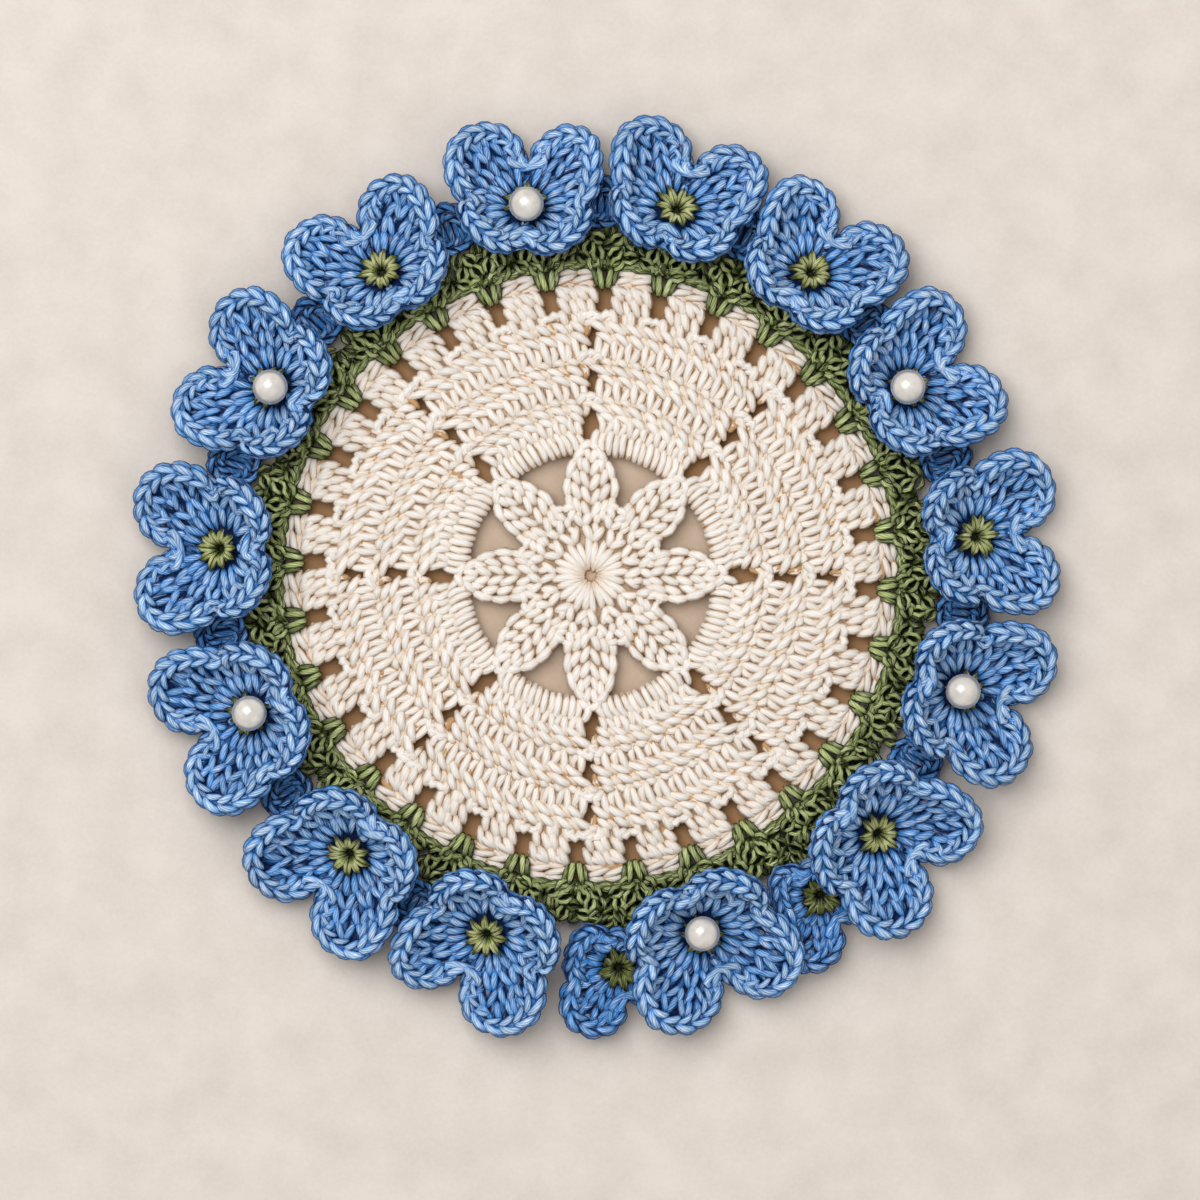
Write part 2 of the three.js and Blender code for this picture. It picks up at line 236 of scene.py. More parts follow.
def buildObject(name, points, quads, tris, material, cornerUv=None, values=None):
    # one mesh from whole arrays: points in millimetres, then the corners of quads and triangles
    mesh = bpy.data.meshes.new(name)
    corners = np.concatenate([quads.ravel(), tris.ravel()]).astype(np.int32)
    starts = np.concatenate([np.arange(len(quads)) * 4, len(quads) * 4 + np.arange(len(tris)) * 3])
    mesh.vertices.add(len(points))
    mesh.vertices.foreach_set("co", (points * metresPerMm).astype(np.float32).ravel())
    mesh.loops.add(len(corners))
    mesh.loops.foreach_set("vertex_index", corners)
    mesh.polygons.add(len(starts))
    mesh.polygons.foreach_set("loop_start", starts.astype(np.int32))
    if cornerUv is not None:
        layer = mesh.uv_layers.new(name="yarn")
        layer.data.foreach_set("uv", cornerUv.astype(np.float32).ravel())
    for key, array in (values or {}).items():
        mesh.attributes.new(key, "FLOAT", "POINT").data.foreach_set("value", array.astype(np.float32))
    mesh.update(calc_edges=True)
    mesh.validate()
    mesh.polygons.foreach_set("use_smooth", np.ones(len(mesh.polygons), bool))
    mesh.materials.append(material)
    piece = bpy.data.objects.new(name, mesh)
    bpy.context.scene.collection.objects.link(piece)
    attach(piece, "root")
    return piece


def joinStrands(name, batches, material):
    # every batch of strands in one mesh
    starts = np.cumsum([0] + [len(batch["points"]) for batch in batches])
    join = lambda key: np.concatenate([batch[key] for batch in batches])
    quads, tris = (np.concatenate([batch[key] + start for batch, start in zip(batches, starts)])
                   for key in ("quads", "tris"))
    uv = np.concatenate([join("quadUv"), join("trisUv")])
    values = dict(crown=join("crown"), tint=join("tint"))
    return buildObject(name, join("points"), quads, tris, material, uv, values)


def closedSheet(name, upper, lower, material, filledMiddle=True):
    # two faces of a cloth on one grid, rings outwards by steps round, joined along their edges.
    # The middle is a point of its own in each face where it is filled, and an inner edge if not.
    rings, around = upper.shape[:2]
    half = rings * around
    index = np.arange(half).reshape(rings, around)
    after = np.roll(index, -1, axis=1)
    top = gridQuads(index)
    quads = [top, top[:, ::-1] + half, gridQuads(np.stack([index[-1], index[-1] + half]))]
    points = [upper.reshape(-1, 3), lower.reshape(-1, 3)]
    tris = np.zeros((0, 3), int)
    if filledMiddle:
        points += [face[:1].mean(axis=1) for face in (upper, lower)]
        pole = np.full(around, 2 * half)
        tris = np.concatenate([np.stack([pole, index[0], after[0]], 1),
                               np.stack([pole + 1, after[0] + half, index[0] + half], 1)])
    else:
        quads.append(gridQuads(np.stack([index[0], index[0] + half]))[:, ::-1])
    return buildObject(name, np.concatenate(points), np.concatenate(quads), tris, material)


def standFor(node, slot, *pieces):
    # the imported solid that the pieces stand for is hidden; the slot that would name their finish
    # is not used
    for piece in pieces:
        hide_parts(node)


# Finishes


# What the yarns share: how round their plies are, the fibre's length in mm, the crown from which
# the painted highlight is palest, the noise between which fibres start to shine and shine most as a
# painted highlight, and how far they stand out of the plies; then the ground's loops, fuzz and
# relief in mm, and cotton's IOR
yarn = dict(roundness=0.55, fibreLength=2.0, palestFrom=0.94, shineFrom=0.52, shineTo=0.72,
            fibreRelief=0.35, bump=0.9, sheenRoughness=0.45)
backing = dict(loop=1.6, fuzz=0.5, darkFrom=0.7, bump=0.8, relief=0.3, roughness=0.85, specular=0.2)
fibreIor = 1.53


def cottonYarn(name, look):
    # Cotton yarn: a few plies twisted together, soft sheen, fine fibres along each ply. Light and shade
    # are painted into its colour: a painted highlight on the crowns and on shining fibres, painted shade
    # in the grooves between plies and where strands meet.
    material, tree = newMaterial(name)
    parts = addNode(tree, "SeparateXYZ", links={"Vector": addNode(tree, "UVMap", {"uv_map": "yarn"})})
    crown = addNode(tree, "Attribute", {"attribute_name": "crown"}).outputs["Fac"]
    tint = addNode(tree, "Attribute", {"attribute_name": "tint"}).outputs["Fac"]
    # plies: their number times (share of the way round + length over the length of one turn), as
    # a wave between 0 and 1 with round tops
    twist = addNode(tree, "Math", {"operation": "MULTIPLY"}, {1: 1 / look["twistLength"]}, {0: parts})
    spiral = addNode(tree, "Math", {"operation": "ADD"}, None, {0: parts.outputs["Y"], 1: twist})
    plyRound = spiral
    for operation, value in (("MULTIPLY", look["plies"]), ("PINGPONG", 0.5), ("MULTIPLY", 2.0),
                             ("POWER", yarn["roundness"])):
        plyRound = addNode(tree, "Math", {"operation": operation}, {1: value}, {0: plyRound})
    # fibres: long thin noise, one unit of it 0.12 mm across the yarn and about 2 mm along it
    across = addNode(tree, "Math", {"operation": "MULTIPLY"}, {1: look["fibres"]}, {0: spiral})
    lengthwise = addNode(tree, "Math", {"operation": "MULTIPLY"}, {1: 1 / yarn["fibreLength"]}, {0: parts})
    fibrePlace = addNode(tree, "CombineXYZ", links={"X": lengthwise, "Y": across, "Z": tint})
    fibre = addNode(tree, "TexNoise", None, {"Scale": 1.0, "Detail": 2.0, "Roughness": 0.6},
                    {"Vector": fibrePlace})
    # painted light by the crown: painted shade where strands dip and meet, the yarn's own colour, then a
    # painted highlight along the top
    ramp = addNode(tree, "ValToRGB", links={"Fac": crown})
    setStops(ramp, (look["shadedToneEnds"], look["shadedTone"]), (look["bodyStarts"], look["body"]),
             (yarn["palestFrom"], look["top"]))
    # painted shade in the grooves between plies
    grooveShare = addNode(tree, "Math", {"operation": "MULTIPLY_ADD"},
                          {1: -look["groove"], 2: look["groove"]}, {0: plyRound})
    grooved = addNode(tree, "Mix", {"data_type": "RGBA"}, {"B": linearColour(look["shadedTone"])},
                      {"Factor": grooveShare, "A": ramp})
    # painted highlight: fibres that shine along the crown
    shineShare = addNode(tree, "MapRange", None,
                         {"From Min": yarn["shineFrom"], "From Max": yarn["shineTo"],
                          "To Min": 0.0, "To Max": look["fibreHighlight"]}, {"Value": fibre})
    crownShine = addNode(tree, "Math", {"operation": "MULTIPLY"}, None, {0: shineShare, 1: crown})
    fibreHighlighted = addNode(tree, "Mix", {"data_type": "RGBA"}, {"B": linearColour(look["light"])},
                       {"Factor": crownShine, "A": grooved.outputs["Result"]})
    lightness = addNode(tree, "MapRange", None,
                        {"From Min": 0.0, "From Max": 1.0, "To Min": 1 - look["uneven"],
                         "To Max": 1 + look["uneven"]}, {"Value": tint})
    coloured = addNode(tree, "HueSaturation", None, None,
                       {"Value": lightness, "Color": fibreHighlighted.outputs["Result"]})
    relief = addNode(tree, "Math", {"operation": "MULTIPLY_ADD"}, {1: yarn["fibreRelief"]},
                     {0: fibre, 2: plyRound})
    bump = addNode(tree, "Bump", None, {"Strength": yarn["bump"], "Distance": look["relief"] * metresPerMm},
                   {"Height": relief})
    shader = addNode(tree, "BsdfPrincipled", None,
                     {"Roughness": look["roughness"], "IOR": fibreIor, "Specular IOR Level": look["specular"],
                      "Sheen Weight": look["sheen"], "Sheen Roughness": yarn["sheenRoughness"]},
                     {"Base Color": coloured, "Normal": bump})
    addNode(tree, "OutputMaterial", links={"Surface": shader})
    return material


def cottonGround(name, look):
    # The ground of the crochet, seen only in the dips between strands and from its cut edge: the
    # same cotton, darkened as painted shade for the dips, with loops about 1.6 mm apart that are
    # darker towards their edges, also painted shade
    material, tree = newMaterial(name)
    place = addNode(tree, "TexCoord").outputs["Object"]
    cells = addNode(tree, "TexVoronoi", None, {"Scale": perMetre(backing["loop"])}, {"Vector": place})
    noise = addNode(tree, "TexNoise", None, {"Scale": perMetre(backing["fuzz"]), "Detail": 3.0},
                    {"Vector": place})
    # painted shade: lighter in the middle of a loop, darkest from darkFrom of the way to its edge
    ramp = addNode(tree, "ValToRGB", links={"Fac": cells})
    setStops(ramp, (0.0, look["groundLight"]), (backing["darkFrom"], look["ground"]))
    relief = addNode(tree, "Math", {"operation": "MULTIPLY_ADD"}, {1: -1.0}, {0: cells, 2: noise})
    bump = addNode(tree, "Bump", None,
                   {"Strength": backing["bump"], "Distance": backing["relief"] * metresPerMm},
                   {"Height": relief})
    shader = addNode(tree, "BsdfPrincipled", None,
                     {"Roughness": backing["roughness"], "IOR": fibreIor, "Sheen Weight": look["sheen"],
                      "Specular IOR Level": backing["specular"]}, {"Base Color": ramp, "Normal": bump})
    addNode(tree, "OutputMaterial", links={"Surface": shader})
    return material


# A colour's shades from the dips to the highlights, all painted light but the body, which is the
# yarn's own colour: painted shade in the dips, a painted highlight on top and on shining fibres; the
# ground's two colours, darker as painted shade; where the shades end and start on a strand's crown;
# and its yarn: painted shade in the grooves between plies, the painted highlight on shining fibres,
# unevenness, plies, mm a twist, fibres round
creamLook = dict(shadedTone="#C49A6C", body="#E4D5C3", top="#F4F1ED", light="#FFFFFF", ground="#B0957A",
                 groundLight="#CCB69C", shadedToneEnds=0.24, bodyStarts=0.7, groove=0.14, fibreHighlight=0.3, uneven=0.05,
                 plies=6, twistLength=15.0, fibres=24, relief=0.08, roughness=0.6, specular=0.3, sheen=0.1)
greenLook = dict(shadedTone="#070D02", body="#3E4C14", top="#BECB86", light="#F2F6CC", ground="#161E0A",
                 groundLight="#2A3518", shadedToneEnds=0.5, bodyStarts=0.76, groove=0.5, fibreHighlight=0.8, uneven=0.22,
                 plies=8, twistLength=12.0, fibres=18, relief=0.14, roughness=0.45, specular=0.1, sheen=0.0)
oliveLook = dict(greenLook, body="#646E2C", top="#C8CE8A", light="#F4F6DC", shadedToneEnds=0.45, bodyStarts=0.74,
                 uneven=0.16)
blueLook = dict(greenLook, shadedTone="#04346A", body="#4E9CEA", top="#C4E4FF", light="#FFFFFF", ground="#081C48",
                groundLight="#123470", shadedToneEnds=0.42, bodyStarts=0.68, groove=0.62, uneven=0.14, fibres=16,
                specular=0.12)
creamYarn = cottonYarn("creamMercerisedCotton", creamLook)
greenYarn = cottonYarn("greenMercerisedCotton", greenLook)
blueYarn = cottonYarn("blueMercerisedCotton", blueLook)
oliveYarn = cottonYarn("oliveMercerisedCotton", oliveLook)
creamGround = cottonGround("creamCottonGround", creamLook)
greenGround = cottonGround("greenCottonGround", greenLook)
blueGround = cottonGround("blueCottonGround", blueLook)
print("stage: yarn finishes are made")

# The mat

# Radii are in mm. At a spoke, half the clear width where a strand's middle may run goes by radius.
# ground gives the upper and the lower face of the cloth under the stitches. flatArea is in square
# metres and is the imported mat's, with its openings cut out.
mat = dict(
    thickness=2.6, sectors=8, blocks=32, firstRimGapAngle=8.4, radius=54.6, flatArea=0.0082,
    spokeRadius=(22.0, 24.9, 26.1, 28.4, 29.8, 33.3, 34.5, 36.3, 37.4, 40.7, 41.9, 43.5, 44.6, 46.0),
    spokeHalf=(0.3, 0.4, 1.7, 1.7, 0.5, 0.4, 1.2, 1.2, 0.4, 0.35, 1.1, 1.1, 0.3, 0.2),
    rows=[
        dict(inner=22.9, outer=30.9, stitches=7, wrapped=True),
        dict(inner=30.9, outer=37.8, stitches=8, wrapped=False),
        dict(inner=37.8, outer=45.7, stitches=11, wrapped=False),
    ],
    spokeCrossings=(31.4, 39.1, 46.2), blockStitches=2, blockInner=45.4, blockOuter=52.5, blockSpread=7.5,
    chainInner=52.3, chainOuter=54.7, roundStitches=12, roundTurn=8, ground=(1.35, 0.9), groundInset=0.9,
    betweenDrop=0.6, betweenShade=0.8, underDrop=0.2, underLeast=1.2, underThick=0.9, looseness=0.09,
    mirrorDrop=0.4, holeRadius=1, holeFullest=0.4,
)

# One tall stitch in its cell, across from 0 to 1 clockwise and outward from 0 to 1: the points
# (across, outward, height) of each strand, then its width, thickness, bluntness and depth, the
# share of its painted light that it keeps, less for painted shade on a strand that lies low
tallStitch = [
    ([(-0.2, 1.0, 1.1), (0.35, 0.9, 2.15), (1.0, 0.7, 0.95)], 1.7, 1.6, 2.3, 1.0),
    ([(0.05, 0.75, 0.95), (0.65, 0.65, 2.1), (1.3, 0.45, 0.85)], 1.65, 1.6, 2.3, 1.0),
    ([(0.65, 1.05, 0.75), (0.95, 0.9, 1.45), (1.15, 0.65, 0.75)], 1.4, 1.35, 2.1, 0.85),
    ([(0.2, 0.75, 0.85), (0.3, 0.4, 1.85), (0.5, 0.0, 0.95)], 1.6, 1.55, 2.3, 1.0),
    ([(0.8, 0.55, 0.8), (0.8, 0.3, 1.7), (0.6, 0.0, 0.85)], 1.55, 1.45, 2.3, 0.95),
    ([(0.6, 0.1, 0.95), (1.0, 0.1, 1.9), (1.35, 0.0, 0.95)], 1.6, 1.55, 2.3, 0.95),
]
# The same in the first row, with two strands wrapped over the chain round the star
wrappedStitch = [
    ([(-0.2, 1.0, 1.1), (0.35, 0.9, 2.15), (1.0, 0.75, 0.95)], 1.75, 1.6, 2.3, 1.0),
    ([(0.05, 0.8, 0.95), (0.65, 0.7, 2.1), (1.25, 0.55, 0.85)], 1.75, 1.6, 2.3, 1.0),
    ([(0.65, 1.05, 0.75), (0.95, 0.9, 1.45), (1.15, 0.7, 0.75)], 1.4, 1.35, 2.1, 0.85),
    ([(0.05, 0.8, 0.85), (0.15, 0.55, 2.0), (0.4, 0.3, 0.9)], 1.6, 1.55, 2.3, 1.0),
    ([(0.7, 0.7, 0.85), (0.7, 0.5, 1.85), (0.6, 0.25, 0.85)], 1.55, 1.5, 2.3, 0.95),
    ([(-0.1, 0.45, 0.9), (0.1, 0.2, 2.0), (0.2, -0.15, 0.95)], 1.45, 1.6, 5.0, 1.0),
    ([(0.4, 0.4, 0.9), (0.6, 0.15, 1.85), (0.75, -0.15, 0.9)], 1.45, 1.6, 5.0, 0.95),
]
# One post of a rim block, steep strands in two columns
rimStitch = [
    ([(-0.05, 1.0, 1.0), (0.2, 0.8, 2.15), (0.65, 0.55, 0.95)], 1.85, 1.65, 2.3, 0.95),
    ([(-0.05, 0.7, 0.95), (0.2, 0.5, 2.1), (0.6, 0.2, 0.9)], 1.85, 1.65, 2.3, 0.95),
    ([(-0.05, 0.35, 0.9), (0.1, 0.2, 2.0), (0.35, -0.1, 0.9)], 1.8, 1.6, 2.3, 0.95),
    ([(0.5, 1.0, 0.95), (0.8, 0.8, 2.05), (1.1, 0.5, 0.95)], 1.75, 1.6, 2.3, 0.95),
    ([(0.6, 0.65, 0.9), (0.85, 0.4, 1.95), (1.05, 0.1, 0.9)], 1.75, 1.6, 2.3, 0.95),
    ([(0.7, 0.3, 0.85), (0.85, 0.1, 1.8), (0.95, -0.1, 0.9)], 1.65, 1.5, 2.3, 0.9),
]
# The chain along the top of a rim block, over one post
rimChain = [
    ([(-0.3, 0.15, 1.4), (0.4, 0.5, 2.2), (1.15, 0.85, 1.3)], 1.4, 1.45, 2.4, 0.95),
    ([(-0.2, -0.1, 1.45), (0.45, -0.35, 2.2), (1.15, -0.7, 1.3)], 1.4, 1.45, 2.4, 0.95),
    ([(-0.1, 0.0, 1.2), (0.5, 0.15, 1.5), (1.1, 0.0, 1.2)], 1.6, 1.5, 3.6, 0.8),
    ([(-0.15, 0.95, 1.1), (0.5, 1.0, 1.7), (1.15, 0.95, 1.1)], 1.55, 1.4, 3.0, 0.9),
]
# The chain across a gap of the rim, at its inner end: across 0 to 1 over the gap, radius in mm
gapChain = [
    ([(-0.3, 45.75, 0.95), (0.1, 46.9, 2.0), (0.55, 46.55, 1.05)], 1.75, 1.5, 2.1, 1.0),
    ([(0.25, 45.9, 0.95), (0.65, 47.2, 2.0), (1.05, 46.4, 1.05)], 1.75, 1.5, 2.1, 1.0),
    ([(0.65, 45.65, 0.9), (1.0, 46.7, 1.9), (1.4, 46.45, 0.95)], 1.7, 1.5, 2.1, 1.0),
]
# The chain across a spoke between two of its gaps: mm clockwise of the spoke and mm outward
spokeChain = [
    ([(-2.45, -0.95, 0.95), (-1.3, 0.75, 2.05), (0.1, 1.0, 1.1)], 1.85, 1.55, 2.1, 1.0),
    ([(-0.95, -0.5, 0.95), (0.2, 0.95, 2.1), (1.5, 0.5, 1.1)], 1.85, 1.55, 2.1, 1.0),
    ([(0.35, -0.7, 0.9), (1.3, 0.55, 2.0), (2.45, -0.5, 1.0)], 1.75, 1.5, 2.1, 1.0),
    ([(-1.6, -1.1, 0.8), (-0.2, -0.45, 1.75), (1.45, -1.05, 0.8)], 1.7, 1.45, 2.1, 0.9),
]
# Half of one petal of the star, mirrored for its other half: mm to the side of its middle line and
# radius in mm. First the stitches down its middle, then those beside them, then its edge
starPetal = [
    ([(-1.5, 13.8, 1.0), (-1.0, 12.2, 1.95), (-0.1, 10.2, 1.0)], 1.75, 1.6, 2.2, 1.0),
    ([(-1.6, 16.4, 1.0), (-1.05, 14.8, 1.95), (-0.1, 12.8, 1.0)], 1.75, 1.6, 2.2, 1.0),
    ([(-1.6, 19.0, 1.0), (-1.05, 17.4, 2.0), (-0.1, 15.4, 1.0)], 1.75, 1.6, 2.2, 1.0),
    ([(-1.3, 21.4, 1.0), (-0.95, 19.9, 2.0), (-0.1, 18.0, 1.0)], 1.75, 1.6, 2.2, 1.0),
    ([(-0.9, 23.4, 1.1), (-0.6, 22.0, 2.05), (-0.1, 20.2, 1.0)], 1.7, 1.6, 2.2, 1.0),
    ([(-3.1, 14.6, 0.9), (-2.5, 12.9, 1.85), (-1.6, 10.9, 0.9)], 1.85, 1.6, 2.2, 0.95),
    ([(-3.4, 17.3, 0.9), (-2.7, 15.6, 1.9), (-1.8, 13.6, 0.9)], 1.85, 1.6, 2.2, 1.0),
    ([(-3.0, 20.0, 0.9), (-2.6, 18.3, 1.9), (-1.8, 16.3, 0.9)], 1.85, 1.6, 2.2, 1.0),
    ([(-2.1, 22.1, 0.95), (-1.9, 20.6, 1.95), (-1.5, 18.8, 0.9)], 1.75, 1.6, 2.2, 1.0),
    ([(-4.1, 15.4, 0.8), (-3.9, 13.6, 1.8), (-2.9, 11.5, 0.85)], 1.85, 1.6, 2.2, 0.95),
    ([(-4.0, 18.6, 0.9), (-4.3, 16.6, 1.95), (-3.9, 14.4, 0.9)], 1.85, 1.65, 2.2, 1.0),
    ([(-2.6, 21.5, 1.0), (-3.6, 19.7, 2.05), (-4.0, 17.6, 0.95)], 1.85, 1.65, 2.2, 1.0),
    ([(-0.6, 23.3, 1.05), (-2.0, 22.0, 2.1), (-3.0, 20.4, 1.0)], 1.85, 1.65, 2.2, 1.0),
    ([(0.4, 24.2, 1.1), (-0.9, 23.7, 2.15), (-2.0, 22.6, 1.05)], 1.75, 1.6, 2.2, 1.0),
]
# Half of the small chain between two petals of the star, as above
starLink = [
    ([(-1.7, 12.7, 1.0), (-1.0, 11.9, 1.95), (-0.1, 10.6, 1.0)], 1.8, 1.55, 2.2, 1.0),
    ([(0.2, 12.9, 1.0), (-1.0, 13.2, 1.95), (-2.2, 12.7, 1.0)], 1.75, 1.55, 2.2, 1.0),
    ([(-2.7, 12.2, 0.9), (-2.1, 11.2, 1.8), (-1.5, 9.9, 0.9)], 1.75, 1.5, 2.2, 0.95),
]
# One of the twelve stitches of the middle: across 0 to 1 over 30 degrees, radius in mm
firstRound = [
    ([(0.04, 7.2, 1.2), (0.12, 4.4, 2.0), (0.12, 0.9, 1.5)], 1.7, 1.6, 2.0, 1.0),
    ([(0.62, 6.4, 1.2), (0.56, 4.2, 1.95), (0.62, 0.9, 1.45)], 1.7, 1.6, 2.0, 0.97),
    ([(0.0, 9.3, 1.2), (0.18, 7.8, 2.0), (0.36, 5.9, 1.1)], 1.8, 1.55, 2.3, 1.0),
    ([(0.78, 9.2, 1.2), (0.6, 7.6, 2.0), (0.42, 6.0, 1.1)], 1.8, 1.55, 2.3, 1.0),
    ([(0.42, 9.5, 1.1), (0.5, 8.4, 1.9), (0.66, 7.0, 1.0)], 1.6, 1.5, 2.3, 0.95),
    ([(0.3, 11.4, 1.1), (0.2, 10.3, 1.95), (0.02, 8.8, 1.1)], 1.8, 1.55, 2.3, 1.0),
    ([(0.74, 11.4, 1.1), (0.84, 10.3, 1.95), (1.0, 8.7, 1.1)], 1.8, 1.55, 2.3, 1.0),
    ([(0.55, 11.3, 1.0), (0.5, 10.4, 1.85), (0.46, 9.2, 1.0)], 1.7, 1.5, 2.3, 0.95),
]


def mirrored(pattern):
    # the same strands once more on the other side of the middle line, a little further in
    return pattern + [([(-x, radius - mat["mirrorDrop"], height) for x, radius, height in points], *size)
                      for points, *size in pattern]


def fromPattern(pattern):
    # the strands of a pattern as arrays: points (strands, 3, 3) and their four sizes
    return np.array([row[0] for row in pattern], float), np.array([row[1:] for row in pattern], float)


def repeated(controls, sizes):
    # controls (cells, strands, 3, 3) and sizes (strands, 4), as one list of strands
    return controls.reshape(-1, 3, 3), np.tile(sizes, (len(controls), 1))


def joined(found):
    # the strands and the sizes of several patterns, as one list
    return tuple(np.concatenate(parts) for parts in zip(*found))


def cellStrands(pattern, angleOf, cells, inner=0.0, rise=1.0):
    # a pattern worked once in each cell: radius = inner + outward * rise, and an angle by the
    # cell, the share across and the radius
    points, sizes = fromPattern(pattern)
    across, outward, height = (points[None, ..., axis] for axis in range(3))
    cells = np.asarray(cells, float)[:, None, None]
    radius = inner + outward * rise + 0 * cells
    controls = np.stack([angleOf(cells, across, radius), radius, height + 0 * radius], -1)
    return repeated(controls, sizes)


def besideLine(line, across, radius):
    # mm clockwise of a line from the middle, as an angle: the line less the arc over its radius
    return line - np.degrees(across / radius)


def spokeHalfAngle(radius):
    # half the clear width at a spoke as an angle: width over radius
    return np.degrees(np.interp(radius, mat["spokeRadius"], mat["spokeHalf"]) / radius)


def matStrands(shift=0.0):
    # every strand of the mat as (angle in degrees, radius in mm, height in mm) with its sizes.
    # With a shift, only the stitches of the rows, each moved by that share of a stitch.
    sector = 360 / mat["sectors"]
    found = []
    for row in mat["rows"]:
        count = row["stitches"]

        def inRow(cell, across, radius):
            # from the spoke's left side, clockwise: the stitches share the sector less its gap
            share = (cell % count + across + shift) / count
            half = spokeHalfAngle(radius)
            return sector * (cell // count) + sector - half - share * (sector - 2 * half)

        pattern = wrappedStitch if row["wrapped"] else tallStitch
        cells = np.arange(count * mat["sectors"])
        cells = cells[(cells % count < count - 1) | (shift == 0)]
        found.append(cellStrands(pattern, inRow, cells, row["inner"], row["outer"] - row["inner"]))
    if shift:
        return joined(found)
    block, spread, posts = 360 / mat["blocks"], mat["blockSpread"], mat["blockStitches"]
    middle = lambda cell: mat["firstRimGapAngle"] + block * (cell + 0.5)
    inBlock = lambda cell, across, radius: (
        middle(cell // posts) + spread / 2 - (across + cell % posts) * spread / posts)
    inGap = lambda cell, across, radius: middle(cell) - spread / 2 - across * (block - spread)
    inRound = lambda cell, across, radius: 360 / mat["roundStitches"] * (cell - across) + mat["roundTurn"]
    for pattern, part in ((rimStitch, "block"), (rimChain, "chain")):
        inner, outer = mat[part + "Inner"], mat[part + "Outer"]
        found.append(cellStrands(pattern, inBlock, np.arange(mat["blocks"] * posts), inner, outer - inner))
    found.append(cellStrands(gapChain, inGap, np.arange(mat["blocks"])))
    spokes = np.arange(mat["sectors"]) * sector
    for crossing in mat["spokeCrossings"]:
        found.append(cellStrands(spokeChain, besideLine, spokes, crossing))
    found.append(cellStrands(mirrored(starPetal), besideLine, spokes))
    found.append(cellStrands(mirrored(starLink), besideLine, spokes + sector / 2))
    found.append(cellStrands(firstRound, inRound, np.arange(mat["roundStitches"])))
    return joined(found)


def loosened(controls):
    # no two stitches are alike: every point of a strand moves a little along, across and up
    moved = controls + chance.normal(0, mat["looseness"], controls.shape)
    moved[..., 0] = controls[..., 0] + np.degrees((moved[..., 0] - controls[..., 0]) / controls[..., 1])
    return moved


def levelSurface(foot, facing=1.0):
    # a level plane at one height, by angle in degrees and radius, facing up or down
    def surface(angle, radius):
        place = polar(np.radians(angle), radius, foot)
        return place, np.broadcast_to(np.array([0.0, 0.0, facing]), place.shape)
    return surface


def insideOutline(spots, corners, edges):
    # a spot is inside where a line from it to the right crosses the outline an odd number of times
    x, y = spots[:, 0, None], spots[:, 1, None]
    ax, ay = corners[edges[:, 0]].T
    bx, by = corners[edges[:, 1]].T
    spans = (ay <= y) != (by <= y)
    crossing = ax + (y - ay) * (bx - ax) / np.where(by == ay, 1, by - ay)
    return (spans & (crossing > x)).sum(axis=1) % 2 == 1


def clothFromNode(nodeName, name, heights, inset, material):
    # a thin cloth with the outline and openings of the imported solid: the edges round its upper
    # face, each point moved inward by the inset along the level part of its normal, are filled
    # with triangles, once at each height, and joined by a wall
    work = bmesh.new()
    work.from_mesh(bpy.data.objects[nodeName].data)
    bmesh.ops.remove_doubles(work, verts=work.verts, dist=1e-6)
    work.normal_update()
    isTop = lambda face: face.normal.z > 0.5
    rims = [edge for edge in work.edges if sum(map(isTop, edge.link_faces)) == 1]
    places, ends = {}, []
    for edge in rims:
        face = next(face for face in edge.link_faces if isTop(face))
        loop = next(loop for loop in face.loops if loop.edge == edge)
        ends.append((loop.vert.index, loop.link_loop_next.vert.index))
        for v in edge.verts:
            level = Vector((v.normal.x, v.normal.y)).normalized()
            places[v.index] = Vector(v.co[:2]) / metresPerMm - inset * level
    work.free()
    order = {key: i for i, key in enumerate(places)}
    edges = [(order[a], order[b]) for a, b in ends]
    flat, _, faces, *_ = delaunay_2d_cdt(list(places.values()), edges, [], 2, 1e-6)
    flat = np.array([tuple(point) for point in flat])
    count = len(flat)
    upper, lower = (np.column_stack([flat, np.full(count, height)]) for height in heights)
    tris = np.array([list(face) for face in faces])
    tris = tris[insideOutline(flat[tris].mean(axis=1), flat, np.array(edges))]
    walls = np.array([(b, a, a + count, b + count) for a, b in edges])
    tris = np.concatenate([tris, tris[:, ::-1] + count])
    return buildObject(name, np.concatenate([upper, lower]), walls, tris, material)


def makeMat():
    controls, sizes = matStrands()
    controls = loosened(controls)
    # a strand that ends at the middle hole is fullest further out
    fullest = np.where(controls[:, 2, 1] < mat["holeRadius"], mat["holeFullest"], 0.5)
    top = layPattern(levelSurface(0.0), controls, sizes, fullest=fullest)
    between, betweenSizes = matStrands(0.5)
    between[..., 2] -= mat["betweenDrop"]
    # the strands between lie lower and are dimmed by painted shade
    betweenSizes[:, 3] = mat["betweenShade"]
    filling = layPattern(levelSurface(0.0), between, betweenSizes, **hidden)
    below = controls.copy()
    below[..., 2] = np.maximum(below[..., 2] - mat["underDrop"], mat["underLeast"])
    under = layPattern(levelSurface(mat["thickness"], -1.0), below, sizes * (1, mat["underThick"], 1, 1),
                       fullest=fullest, rings=5, sides=5)
    stitches = [joinStrands("creamStitches" + side, [strands], creamYarn)
                for side, strands in (("Top", top), ("Between", filling), ("Under", under))]
    ground = clothFromNode("cream_mat", "creamGround", mat["ground"], mat["groundInset"], creamGround)
    standFor("cream_mat", "cream_cotton", *stitches, ground)
    print("stage: mat of", len(controls), "strands on each face")


makeMat()

# The green lace edging

# Radii and heights are in mm; ground gives the upper and the lower face of the cloth
lace = dict(
    inner=55.1, bandOuter=57.3, fanOuter=61.4, fanHalfAngle=4.6, fanRamp=1.2, seatInner=59.0,
    ground=(1.8, 0.8), groundInset=0.3, steps=720,
)
